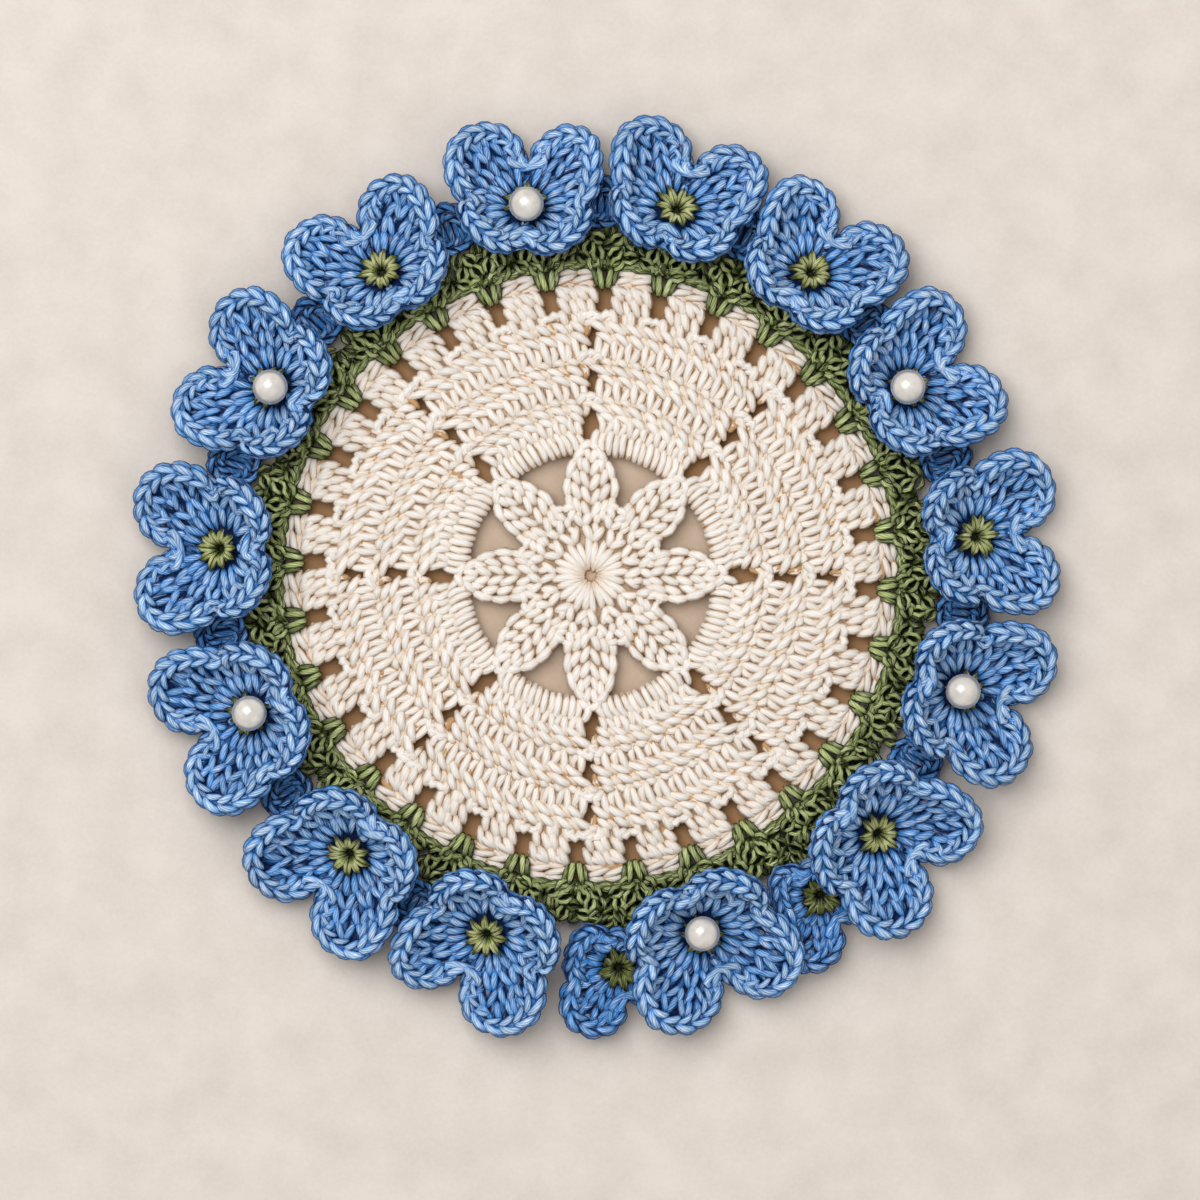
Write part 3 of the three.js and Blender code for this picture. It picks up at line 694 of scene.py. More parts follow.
# One fan of the lace over a pair of loops. The wraps over the rim are strands: mm clockwise of the
# fan's middle line, radius and height, then width, thickness, bluntness and depth, which dims its
# painted light into painted shade
laceWraps = [
    ([(-0.35, 51.5, 0.9), (-0.7, 53.2, 3.5), (-1.3, 55.9, 2.9)], 1.45, 1.4, 3.0, 1.0),
    ([(-1.25, 51.9, 0.8), (-1.65, 53.5, 3.25), (-2.4, 55.7, 2.6)], 1.15, 1.2, 2.6, 0.9),
    ([(0.55, 51.6, 0.9), (0.75, 53.3, 3.5), (1.15, 55.9, 2.9)], 1.45, 1.4, 3.0, 1.0),
    ([(1.45, 52.0, 0.8), (1.7, 53.6, 3.25), (2.3, 55.6, 2.6)], 1.15, 1.2, 2.6, 0.9),
]
# Its curls, each a loop of yarn: mm clockwise, radius, height, turn in degrees clockwise from
# outward, length in mm and depth, which dims its painted light into painted shade
laceCurls = [
    (-1.9, 56.3, 2.9, -52, 3.4, 1.0), (1.9, 56.2, 2.9, 50, 3.4, 1.0), (0.1, 56.6, 2.6, 12, 2.8, 0.85),
    (-3.9, 57.2, 2.6, -58, 3.2, 0.95), (3.9, 57.1, 2.6, 55, 3.2, 0.95), (-1.0, 58.0, 3.0, -35, 3.4, 1.0),
    (1.6, 58.2, 3.0, 30, 3.4, 1.0), (-3.1, 59.0, 2.8, 15, 3.2, 1.0), (3.6, 59.1, 2.8, -20, 3.2, 1.0),
    (0.3, 59.6, 2.5, 65, 2.8, 0.85), (-4.9, 59.4, 2.4, -20, 3.0, 0.85), (5.1, 59.2, 2.4, 25, 3.0, 0.85),
    (-1.6, 60.7, 2.6, -60, 3.2, 1.0), (1.9, 60.8, 2.6, 40, 3.2, 1.0), (-3.7, 61.3, 2.3, 30, 3.0, 0.9),
    (3.9, 61.3, 2.3, -35, 3.0, 0.9), (0.2, 61.8, 2.2, 5, 2.6, 0.85),
]
# Curls over a flower's seat, on rows across it; and for any curl, its share of the length, its bow
# to the side and its rise at three places, with how far it may move and turn
seatCurl = dict(eyeRadius=67, firstRow=61.2, pastMiddle=6.0, rowStep=1.7, halfLength=6.8, step=2.2,
                height=2.9, turn=70, length=3.2, depth=0.9)
curl = dict(bends=((-0.5, 0.08, -0.45), (0.0, 0.27, 0.4), (0.5, 0.02, -0.55)), move=0.24, turn=16,
            width=1.1, thick=1.2, blunt=2.3)
# The posts seen from below, two at each angle: the inner one's reach and the outer one's start;
# their depth dims their painted light into painted shade
lacePost = dict(count=150, inner=55.3, innerEnd=58.6, outer=58.3, inset=0.5, least=1.2, lean=0.4,
                foot=2.8, heights=(1.7, 2.15, 1.7), width=1.35, thick=1.0, blunt=3.4, depth=0.9)
cord = dict(middle=56.0, height=2.1, wind=0.42, radius=0.72, around=480, sides=8, turns=60,
            crownMiddle=0.55, crownSwing=0.3, tint=0.8)


# shade dims the painted light of a whole flower and its eye: a tucked flower, under its neighbours, is in
# painted shade
flowerForms = dict(
    standing=dict(reach=18.4, leftShare=1.0, rimSlope=54, extraInward=14, tilt=22, eyeHeight=5.35, shade=1.0,
                  seatWidth=13.0, seatPastEye=4.4),
    tucked=dict(reach=14.3, leftShare=0.5, rimSlope=34, extraInward=4, tilt=14, eyeHeight=4.4, shade=0.84,
                seatWidth=8.0, seatPastEye=2.4),
)
# from 01 to 16: angle round the mat, radius of its eye, the way it faces, a pearl or not, then the
# length of its outer and of its inner petals as shares of the reach
flowerPlaces = [
    (99.9, 67.0, 88, True, 0.96, 0.7), (76.8, 67.0, 70, False, 0.96, 0.65),
    (53.9, 66.7, 56, False, 0.95, 0.71), (30.7, 65.6, 28, True, 1.0, 0.72),
    (5.8, 69.0, 3, False, 0.97, 0.77), (-17.3, 69.4, -17, True, 0.99, 0.83),
    (-42.0, 68.8, -34, False, 1.03, 0.86), (-54.3, 70.4, -54, False, 0.95, 0.75),
    (-72.7, 66.7, -66, True, 1.03, 0.86), (-86.0, 70.3, -74, False, 0.93, 0.8),
    (-106.0, 66.6, -122, False, 1.0, 0.83), (-130.9, 65.6, -131, False, 1.03, 0.78),
    (-158.0, 65.4, -156, True, 1.03, 0.76), (175.8, 66.2, 181, False, 1.01, 0.75),
    (149.5, 66.0, 155, True, 1.0, 0.75), (124.6, 65.7, 119, False, 0.97, 0.68),
]
# the tucked flowers, with the room in mm that each has on its left and on its right
tuckedRooms = {"08": (5.2, 8.0), "10": (5.6, 9.6)}
flowers = []
for number, (angle, radius, face, bead, outer, inner) in enumerate(flowerPlaces, 1):
    name = f"{number:02d}"
    flowers.append(dict(
        name=name, angle=angle, radius=radius, face=face, pearl=bead, outer=outer, inner=inner,
        standing=name not in tuckedRooms, rooms=tuckedRooms.get(name, (None, None)),
        form=flowerForms["tucked" if name in tuckedRooms else "standing"]))


def flowerDirection(flower):
    # towards the flower from the mat's middle: the cosine and the sine of its angle
    return np.array(turned(1, 0, flower["angle"]))


def laceOuter(angle):
    # the outer edge of the lace by angle: the band between fans, the fans, and the seats of the
    # flowers, each an ellipse whose far side is at middle + half length * (1 - (side / half
    # width) ** 2) ** 0.5
    block = 360 / mat["blocks"]
    fromFan = np.abs((angle - mat["firstRimGapAngle"] + block / 2) % block - block / 2)
    rise = np.clip((lace["fanHalfAngle"] - fromFan) / lace["fanRamp"], 0, 1)
    outer = lace["bandOuter"] + (lace["fanOuter"] - lace["bandOuter"]) * rise
    for flower in flowers:
        form = flower["form"]
        halfLength = (flower["radius"] + form["seatPastEye"] - lace["seatInner"]) / 2
        middle = lace["seatInner"] + halfLength
        away = np.radians((angle - flower["angle"] + 180) % 360 - 180)
        side = np.clip(np.abs(middle * np.sin(away)) / (form["seatWidth"] / 2), 0, 1)
        far = middle + halfLength * np.sqrt(1 - side ** 2)
        near = (side < 1) & (np.abs(away) < 0.5)
        outer = np.where(near, np.maximum(outer, far), outer)
    return outer


def seatCurls(form):
    # rows across the seat's ellipse, half width * (1 - (from its middle / half length) ** 2) ** 0.5
    # to each side, every other row moved by half a step
    middle = (lace["seatInner"] + seatCurl["eyeRadius"] + form["seatPastEye"]) / 2
    step, turn = seatCurl["step"], seatCurl["turn"]
    curls = []
    rows = np.arange(seatCurl["firstRow"], middle + seatCurl["pastMiddle"], seatCurl["rowStep"])
    for row, radius in enumerate(rows):
        half = form["seatWidth"] / 2 * math.sqrt(1 - ((radius - middle) / seatCurl["halfLength"]) ** 2)
        for x in np.arange(step / 2 * (row % 2) - half, half, step):
            curls.append((x, radius, seatCurl["height"], chance.uniform(-turn, turn),
                          seatCurl["length"], seatCurl["depth"]))
    return curls


def curlStrands(pattern, places):
    # both halves of every curl: along its own direction from - half its length to + half its
    # length, bowed out by a share of the length at its middle, where it also rises
    curls = np.tile(np.array(pattern, float), (len(places), 1))
    place = np.repeat(places, len(pattern))
    x, radius, height, turn, length, depth = curls.T
    x, radius, height = (value + chance.normal(0, curl["move"], len(place)) for value in (x, radius, height))
    turn = np.radians(turn + chance.normal(0, curl["turn"], len(place)))
    halves = []
    for side in (-1, 1):
        controls = []
        for along, bow, rise in curl["bends"]:
            dx = length * (along * np.sin(turn) + side * bow * np.cos(turn))
            dr = length * (along * np.cos(turn) - side * bow * np.sin(turn))
            controls.append(np.stack([besideLine(place, x + dx, radius), radius + dr, height + rise], -1))
        halves.append(np.stack(controls, 1))
    return np.concatenate(halves), np.tile(depth, 2)


def lacePosts():
    # two posts at each angle from the middle, the outer one as far as the lace reaches there
    count = lacePost["count"]
    angle = np.repeat(np.arange(count) * 360 / count, 2)
    first = np.arange(2 * count) % 2 == 0
    inner = np.where(first, lacePost["inner"], lacePost["outer"])
    outer = np.where(first, lacePost["innerEnd"], laceOuter(angle) - lacePost["inset"])
    keep = outer - inner > lacePost["least"]
    angle, inner, outer = angle[keep], inner[keep], outer[keep]
    leans, radii = (-lacePost["lean"], 0, lacePost["lean"]), (inner, (inner + outer) / 2, outer)
    return np.stack([np.stack([angle + lean, radius, np.full_like(angle, height)], -1)
                     for lean, radius, height in zip(leans, radii, lacePost["heights"])], 1)


def laceCord():
    # two plies wound round each other on a circle: each ply's middle is at wind * cos(winding)
    # outward and wind * sin(winding) up from the cord's own, with a round section
    around, sides = cord["around"], cord["sides"]
    angle, section = ringOfAngles(around)[:, None], ringOfAngles(sides)
    index = np.arange(around * sides).reshape(around, sides)
    quads = gridQuads(np.concatenate([index, index[:1]]))
    ring, step = np.divmod(index.reshape(-1, 1), sides)
    length = (ring + (0, 1, 1, 0)) * 2 * np.pi * cord["middle"] / around
    uv = np.stack([length, (step + (0, 0, 1, 1)) / sides], -1).reshape(-1, 2)
    plies = []
    for half in (0, np.pi):
        winding = cord["turns"] * angle + half
        radius = cord["middle"] + cord["wind"] * np.cos(winding) + cord["radius"] * np.cos(section)
        height = cord["height"] + cord["wind"] * np.sin(winding) + cord["radius"] * np.sin(section)
        plies.append(dict(
            points=polar(angle, radius, height).reshape(-1, 3), quads=quads, tris=np.zeros((0, 3), int),
            quadUv=uv, trisUv=np.zeros((0, 2)), tint=np.full(around * sides, cord["tint"]),
            # painted light round each ply's section: a painted highlight on top and painted shade below
            crown=np.tile(cord["crownMiddle"] + cord["crownSwing"] * np.sin(section), around)))
    return joinStrands("greenLaceCord", plies, greenYarn)


def makeLace():
    fans = mat["firstRimGapAngle"] + np.arange(mat["blocks"]) * 360 / mat["blocks"]
    batches = [layPattern(levelSurface(0.0), *cellStrands(laceWraps, besideLine, fans))]
    curled = [(laceCurls, fans, dict(rings=7, sides=6))]
    for form in flowerForms.values():
        seats = [flower["angle"] for flower in flowers if flower["form"] is form]
        curled.append((seatCurls(form), np.array(seats), hidden))
    for pattern, places, faces in curled:
        controls, depth = curlStrands(pattern, places)
        batches.append(layStrands(levelSurface(0.0), controls, curl["width"], curl["thick"], curl["blunt"],
                                  depth=depth, **faces))
    batches.append(layStrands(levelSurface(lacePost["foot"], -1.0), lacePosts(), lacePost["width"],
                              lacePost["thick"], lacePost["blunt"], depth=lacePost["depth"], sides=5))
    stitches = joinStrands("greenLaceStitches", batches, greenYarn)
    ring = laceCord()
    steps = np.arange(lace["steps"]) * 360 / lace["steps"]
    outer = laceOuter(steps) - lace["groundInset"]
    radius = lace["inner"] + (outer - lace["inner"]) * np.linspace(0, 1, 5)[:, None]
    upper, lower = (polar(np.radians(steps), radius, height) for height in lace["ground"])
    ground = closedSheet("greenLaceGround", upper, lower, greenGround, filledMiddle=False)
    standFor("green_edging", "green_cotton", stitches, ring, ground)


makeLace()
print("stage: green lace edging")

# The flowers

# Depths are the length in a notch as a share of the full length, outward, to the side and inward;
# ground gives the upper and the lower face of the cup, in mm from its middle
# outerShade dims the posts' painted light on the flower's outer half into painted shade, and postSkyward
# turns their painted highlight towards the sky
petal = dict(
    count=4, outerDepth=0.38, sideDepth=0.62, innerDepth=0.56, outerSharpness=0.45, innerSharpness=0.5,
    trough=1.0, innerBulge=0.8, neighbourGap=0.3, halfThickness=1.0, overlap=1.3, firm=0.55,
    ground=(0.2, -0.4), groundInset=0.9, groundRings=(0.06, 0.2, 0.36, 0.52, 0.68, 0.84, 1.0), groundSteps=72,
    chainPitch=3.7, outerShade=0.88, innerFuller=0.15, innerLean=1.5, postThick=1.15, postBlunt=2.4,
    postSkyward=0.4, postLeast=1.7, postFrom=2.2, backThick=1.05, backHeights=(0.3, 0.6, 0.3),
    ridgeWidth=0.08, startLoose=6, turnLoose=0.5, everyOther=-0.5, leastArea=0.301,
)


def nextToMat(angle):
    # 0 on the outer half of a flower, rising to 1 from 45 degrees inward of its sides
    return np.clip(-np.cos(angle) / 0.7, 0, 1)


def petalLength(flower, angle):
    # reach * lerp(depth, 1, |sin(2 * angle)| ** sharpness), with a depth of its own for the outer,
    # side and inner notches, shorter next to the mat, and on the left of a tucked flower
    ahead, back = np.maximum(np.cos(angle), 0) ** 2, np.minimum(np.cos(angle), 0) ** 2
    depth = petal["sideDepth"] + (petal["outerDepth"] - petal["sideDepth"]) * ahead
    depth = depth + (petal["innerDepth"] - petal["sideDepth"]) * back
    inward = (1 - np.cos(angle)) / 2
    sharpness = petal["outerSharpness"] + (petal["innerSharpness"] - petal["outerSharpness"]) * inward
    lobe = np.abs(np.sin(angle * petal["count"] / 2)) ** sharpness
    onLeft = np.sqrt(np.maximum(0, np.sin(angle)))
    share = 1 + (flower["form"]["leftShare"] - 1) * onLeft
    share = share * (flower["outer"] + (flower["inner"] - flower["outer"]) * nextToMat(angle))
    return flower["form"]["reach"] * share * (depth + (1 - depth) * lobe)


def sideRooms(flower, index):
    # direction to each neighbour, seen by the flower, and the room up to half way to it
    own = flower["radius"] * flowerDirection(flower)
    sides = []
    for step, given in zip((-1, 1), flower["rooms"]):
        other = flowers[(index + step) % len(flowers)]
        if flower["standing"] and not other["standing"]:
            other = flowers[(index + 2 * step) % len(flowers)]
        toOther = other["radius"] * flowerDirection(other) - own
        distance = np.linalg.norm(toOther)
        half = distance / 2 - petal["neighbourGap"] - petal["halfThickness"] + petal["overlap"]
        sides.append((turned(*toOther / distance, -flower["face"]), half if given is None else given))
    return sides


def flowerToWorld(flower, x, y, z):
    # turned to the way the flower faces, then moved to its place on the lace
    x, y = turned(x, y, flower["face"])
    middle = flower["radius"] * flowerDirection(flower)
    return np.stack([middle[0] + x, middle[1] + y, flower["form"]["eyeHeight"] + z], -1)


def leaningNormal(lean, face):
    # what looks up on a plane that leans by an angle towards where it faces
    x, z = turned(0, 1, -lean)
    return np.array([*turned(x, 0, face), z])


def flowerMiddle(flower, sides, angle, arc):
    # A bowl: across = sin(bend * arc) / bend and rise = (1 - cos(bend * arc)) / bend, with a trough
    # along each petal, tilted outward, and pressed softly back where a neighbour stands
    form = flower["form"]
    bend = np.radians(form["rimSlope"] - form["extraInward"] * np.cos(angle)) / form["reach"]
    slope = bend * arc
    lobe = np.sin(angle * petal["count"] / 2) ** 2
    inner = nextToMat(angle)
    bulge = petal["innerBulge"] * inner * lobe / (lobe + petal["ridgeWidth"])
    trough = (petal["trough"] * (1 - inner) * lobe + bulge) * arc / form["reach"]
    across = np.sin(slope) / bend + trough * np.sin(slope)
    rise = (1 - np.cos(slope)) / bend - trough * np.cos(slope)
    x, z = turned(across * np.cos(angle), rise, -form["tilt"])
    y = across * np.sin(angle)
    for (dx, dy), room in sides:
        along = x * dx + y * dy
        over = (along / room - petal["firm"]) / (1 - petal["firm"])
        pressed = room * (petal["firm"] + (1 - petal["firm"]) * np.tanh(np.maximum(over, 0)))
        move = np.where(over > 0, pressed - along, 0)
        x, y = x + move * dx, y + move * dy
    return flowerToWorld(flower, x, y, z)


def flowerSurface(flower, sides, facing=1.0):
    # flat petal plane to the bowl: angle and arc are the polar coordinates of a point in the plane,
    # and the normal is the cross product of a short step outward and one round
    leastArc, arcStep, turnStep = 0.4, 0.05, 0.009

    def surface(planeX, planeY):
        angle, arc = np.arctan2(planeY, planeX), np.maximum(np.hypot(planeX, planeY), leastArc)
        at = lambda turn, out: flowerMiddle(flower, sides, angle + turn, arc + out)
        along = at(0, arcStep) - at(0, -arcStep)
        around = at(turnStep, 0) - at(-turnStep, 0)
        return at(0, 0), unit(np.cross(along, around)) * facing
    return surface


def stepsAlong(place):
    # from each point of a closed outline to the next
    return np.roll(place, -1, axis=0) - place


def inwardOf(place):
    # square to the line from the point before to the point after, on its left
    ahead = np.roll(place, -1, axis=0) - np.roll(place, 1, axis=0)
    return unit(np.stack([-ahead[:, 1], ahead[:, 0]], -1))


def petalOutline(flower):
    # the flat outline by arc length, with its inward direction smoothed over 1.8 mm each way
    samples, smoothed = 1440, 1.8
    angle = ringOfAngles(samples)
    place = polar(angle, petalLength(flower, angle), 0)[:, :2]
    travelled = np.concatenate([[0], np.cumsum(np.linalg.norm(stepsAlong(place), axis=1))])
    even = np.linspace(0, travelled[-1], samples + 1)[:-1]
    closed = np.concatenate([place, place[:1]])
    place = np.stack([np.interp(even, travelled, closed[:, axis]) for axis in (0, 1)], -1)
    inward = inwardOf(place)
    window = int(round(smoothed / (travelled[-1] / samples)))
    inward = sum(np.roll(inward, shift, axis=0) for shift in range(-window, window + 1))
    return place, unit(inward), travelled[-1]


def alongOutline(outline, travelled, inset):
    # the point at a length along the outline, moved inward by its inset
    place, inward, total = outline
    share = (travelled / total % 1) * len(place)
    low = share.astype(int) % len(place)
    high = (low + 1) % len(place)
    part = (share - np.floor(share))[..., None]
    spot = place[low] * (1 - part) + place[high] * part
    toward = unit(inward[low] * (1 - part) + inward[high] * part)
    return spot + toward * inset[..., None]


# Stitches of the chain along a petal's edge, for one pitch: share of the pitch along the edge,
# then mm sideways and mm up from the middle of the edge; then width, thickness, bluntness, depth,
# which dims its painted light into painted shade
edgeChain = [
    ([(-0.26, 0.0, 0.55), (0.4, -0.7, 1.15), (1.12, -1.2, 0.2)], 1.6, 1.5, 2.3, 0.95),
    ([(-0.24, 0.2, 0.55), (0.42, 0.95, 1.15), (1.1, 1.65, 0.3)], 1.6, 1.5, 2.3, 0.95),
    ([(0.08, -1.05, -0.45), (0.72, -1.45, -0.35), (1.36, -1.15, -0.9)], 1.45, 1.35, 2.6, 0.8),
    ([(-0.2, 0.05, 0.1), (0.5, 0.15, 0.4), (1.2, 0.2, 0.1)], 1.5, 1.3, 3.0, 0.6),
]
edgeUnder = [
    ([(-0.25, 1.5, 0.3), (0.5, 1.05, 0.6), (1.35, 0.9, 0.25)], 1.5, 1.2, 2.6, 0.9),
    ([(-0.2, 1.8, 0.3), (0.5, 2.4, 0.6), (1.3, 3.1, 0.3)], 1.5, 1.2, 2.6, 0.85),
]
# How far in the chain runs, in mm, and how it moves on a steep edge and to the side; then how it
# is stretched, and how thin it may get, in a notch
edgeRun = dict(core=1.95, steepShift=0.5, sideReach=2.0, sideFrom=0.4, innerRise=1.3, stretch=1.15,
               thinnest=0.6)


def sideShare(outward):
    # how far a part of the edge looks sideways and not to the mat: y ** 2 * (x + from), up to y ** 2
    return outward[..., 1] ** 2 * np.clip(outward[..., 0] + edgeRun["sideFrom"], 0, 1)


def repeatedAlong(outline, pattern):
    # the points of every stitch: mm along the outline, and the pattern's two other values
    points, sizes = fromPattern(pattern)
    count = int(round(outline[2] / petal["chainPitch"]))
    travelled = (np.arange(count)[:, None, None] + points[None, ..., 0]) * outline[2] / count
    return travelled, points[None, ..., 1] + 0 * travelled, points[None, ..., 2] + 0 * travelled, sizes


def edgeOnTop(outline, surface):
    # The chain lies on top of the edge, however steep the petal is there: with the slope t of the
    # surface, its inset is core - up * sin(t) + sideways * cos(t), its height up * cos(t) +
    # sideways * sin(t). Next to the mat it is fuller.
    travelled, sideways, up, sizes = repeatedAlong(outline, edgeChain)
    base = alongOutline(outline, travelled, np.full_like(travelled, edgeRun["core"]))
    outward = unit(base)
    core = edgeRun["core"] - edgeRun["sideReach"] * sideShare(outward)
    _, normal = surface(base[..., 0], base[..., 1])
    cosine = np.clip(normal[..., 2], 0, 1)
    sine = np.sqrt(1 - cosine ** 2)
    inner = np.clip(-edgeRun["innerRise"] * outward[..., 0], 0, 1)
    fuller = 1 + petal["innerFuller"] * inner
    sideways = sideways * fuller + edgeRun["steepShift"] * sine
    spot = alongOutline(outline, travelled, core - up * sine + sideways * cosine)
    height = up * cosine + sideways * sine
    controls, sizes = repeated(np.concatenate([spot, height[..., None]], -1), sizes)
    sizes[:, :2] *= fuller[..., 1].reshape(-1, 1)
    # in a notch a strand keeps the length that it has along a straight edge, or is thinner
    plain = np.abs(travelled[..., 2] - travelled[..., 0]).reshape(-1) * edgeRun["stretch"]
    found = np.linalg.norm(controls[:, 2, :2] - controls[:, 0, :2], axis=-1)
    shrink = np.minimum(1, plain / found)[:, None, None]
    controls = controls[:, 1:2] + (controls - controls[:, 1:2]) * shrink
    sizes[:, :2] *= np.clip(edgeRun["stretch"] * found / plain, edgeRun["thinnest"], 1)[:, None]
    return controls, sizes


def edgeBelow(outline):
    # the same chain from below: inset and height are the pattern's own
    travelled, inset, height, sizes = repeatedAlong(outline, edgeUnder)
    spot = alongOutline(outline, travelled, inset)
    return repeated(np.concatenate([spot, height[..., None]], -1), sizes)


def raysOut(angle, arcs, turns, heights):
    # strands away from the middle: at each distance, the angle plus its turn, and its height
    return np.stack([polar(angle + turn, arc, height) for arc, turn, height in zip(arcs, turns, heights)], 1)


def radialStrands(flower, angle, start, end, lean, heights, clear):
    # posts from the eye outward, each ended before the chain along the edge
    sides = sideShare(np.stack([np.cos(angle), np.sin(angle)], -1))
    end = np.minimum(end, petalLength(flower, angle) - clear + edgeRun["sideReach"] * sides)
    start = np.minimum(start, end - petal["postLeast"])
    keep = start > petal["postFrom"]
    angle, start, end = angle[keep], start[keep], end[keep]
    lean = np.broadcast_to(lean, keep.shape)[keep] * (1 + petal["innerLean"] * nextToMat(angle))
    return raysOut(angle, (start, (start + end) / 2, end), (-lean / 2, 0, lean / 2), heights)


# The rounds of posts in a flower, as shares of its reach; clear is the room left for the chain,
# and depth dims a round's painted light, the lower rounds into painted shade
postTiers = [
    dict(count=22, offset=0.0, start=0.17, end=0.45, lean=0.1, heights=(0.1, 0.8, 0.35), clear=3.0,
         width=1.6, fullest=0.62, depth=0.92, loose=0.02, rings=7, sides=6),
    dict(count=22, offset=0.5, start=0.22, end=0.5, lean=-0.06, heights=(0.0, 0.3, 0.1), clear=3.0,
         width=1.45, fullest=0.6, depth=0.6, loose=0.02, rings=6, sides=5),
    dict(count=30, offset=0.5, start=0.39, end=0.6, lean=0.18, heights=(0.3, 0.85, 0.3), clear=2.8,
         width=1.55, fullest=0.5, depth=0.95, loose=0.04, rings=7, sides=6),
    dict(count=32, offset=0.0, start=0.45, end=0.66, lean=-0.14, heights=(0.1, 0.35, 0.1), clear=2.8,
         width=1.5, fullest=0.5, depth=0.62, loose=0.04, rings=6, sides=5),
    dict(count=40, offset=0.25, start=0.56, end=0.75, lean=-0.18, heights=(0.3, 0.85, 0.3), clear=2.5,
         width=1.5, fullest=0.5, depth=0.95, loose=0.05, rings=7, sides=6),
    dict(count=48, offset=0.5, start=0.68, end=0.9, lean=0.14, heights=(0.3, 0.75, 0.4), clear=2.2,
         width=1.5, fullest=0.5, depth=0.92, loose=0.05, rings=7, sides=6),
    dict(count=48, offset=0.0, start=0.6, end=0.9, lean=-0.06, heights=(0.0, 0.3, 0.1), clear=2.0,
         width=1.55, fullest=0.5, depth=0.62, loose=0.03, rings=6, sides=5),
]
# The two rounds on its under side, their depth dimming their painted light
backTiers = [
    dict(count=22, offset=0.0, startMm=2.4, start=0, end=0.48, lean=0.05, clear=2.4, width=1.8,
         blunt=3.0, fullest=0.6, depth=0.85),
    dict(count=36, offset=0.5, startMm=0, start=0.45, end=0.9, lean=0.06, clear=2.2, width=1.95,
         blunt=3.4, fullest=0.55, depth=0.9),
]


def flowerStitches(flower, sides):
    outline = petalOutline(flower)
    above = flowerSurface(flower, sides)
    below = flowerSurface(flower, sides, -1.0)
    reach, shade = flower["form"]["reach"], flower["form"]["shade"]
    # the chain's painted highlight faces the sky however steep the petal is
    batches = [layPattern(above, *edgeOnTop(outline, above), shade, rings=8, skyward=1.0)]
    for tier in postTiers:
        count = tier["count"]
        lean = np.where(np.arange(count) % 2 == 0, tier["lean"], petal["everyOther"] * tier["lean"])
        lean = lean + chance.normal(0, tier["loose"], count)
        looseTurn, looseStart = (petal[key] * tier["loose"] for key in ("turnLoose", "startLoose"))
        angle = ringOfAngles(count, tier["offset"]) + chance.normal(0, looseTurn, count)
        start = tier["start"] * reach + chance.normal(0, looseStart, count)
        posts = radialStrands(flower, angle, start, tier["end"] * reach, lean, tier["heights"], tier["clear"])
        # painted shade: posts on the outer half of the flower are dimmed by outerShade
        toMat = 0.5 - 0.5 * unit(posts[:, 1, :2])[:, 0]
        depth = shade * tier["depth"] * (petal["outerShade"] + (1 - petal["outerShade"]) * toMat)
        batches.append(layStrands(
            above, posts, tier["width"], petal["postThick"], petal["postBlunt"], tier["fullest"], depth,
            rings=tier["rings"], sides=tier["sides"], skyward=petal["postSkyward"]))
    batches.append(layPattern(below, *edgeBelow(outline), **hidden))
    for tier in backTiers:
        start, end = tier["startMm"] + tier["start"] * reach, tier["end"] * reach
        posts = radialStrands(flower, ringOfAngles(tier["count"], tier["offset"]), start, end, tier["lean"],
                              petal["backHeights"], tier["clear"])
        batches.append(layStrands(below, posts, tier["width"], petal["backThick"], tier["blunt"],
                                  tier["fullest"], tier["depth"], **hidden))
    return batches


def flowerGround(flower, sides):
    # the thin cup that the stitches lie on, from its middle to just inside the edge
    angle = ringOfAngles(petal["groundSteps"])
    reach = petalLength(flower, angle) - petal["groundInset"]
    arc = reach * np.array(petal["groundRings"])[:, None]
    place, up = flowerSurface(flower, sides)(arc * np.cos(angle), arc * np.sin(angle))
    area = np.sum(0.5 * reach ** 2) * 2 * np.pi / len(angle)
    upper, lower = (place + up * height for height in petal["ground"])
    return upper, lower, area * metresPerMm ** 2


# Lengths in mm and turns in radians: the leaf that each ray is, the lower round of strands between
# the leaves, and the disc of ground under them, with its upper and its lower face. A size is a
# strand's width, thickness, bluntness and where it is fullest.
eye = dict(
    rays=10, lift=2.1, funnel=2.0, funnelRadius=1.5, tip=4.2, tipVaries=0.35, turnVaries=0.07,
    leafArcs=(0.5, 1.5, 2.6), leafTurns=(0.5, 0.22, 0.14, 0), leafHeights=(0.1, 0.3, 0.5, 0),
    lowTurn=0.3, lowArcs=(0.8, 2.0, 3.2), lowHeights=(0, -0.1, -0.3), lowShade=0.75,
    lowSize=(1.3, 1.0, 1.8, 0.5), leafSize=(1.0, 1.0, 1.9, 0.55),
    discSteps=18, discArcs=(0.6, 1.8, 2.8), discDepths=(0.15, 0.5),
)


def eyeSurface(flower):
    # the plane of the eye, tilted with the flower, sunk by funnel * exp(-(distance / radius) ** 2)
    tilt = flower["form"]["tilt"]

    def surface(planeX, planeY):
        sunk = eye["funnel"] * np.exp(-(planeX ** 2 + planeY ** 2) / eye["funnelRadius"] ** 2)
        x, z = turned(planeX, eye["lift"] - sunk, -tilt)
        place = flowerToWorld(flower, x, planeY, z)
        return place, np.broadcast_to(leaningNormal(tilt, flower["face"]), place.shape)
    return surface


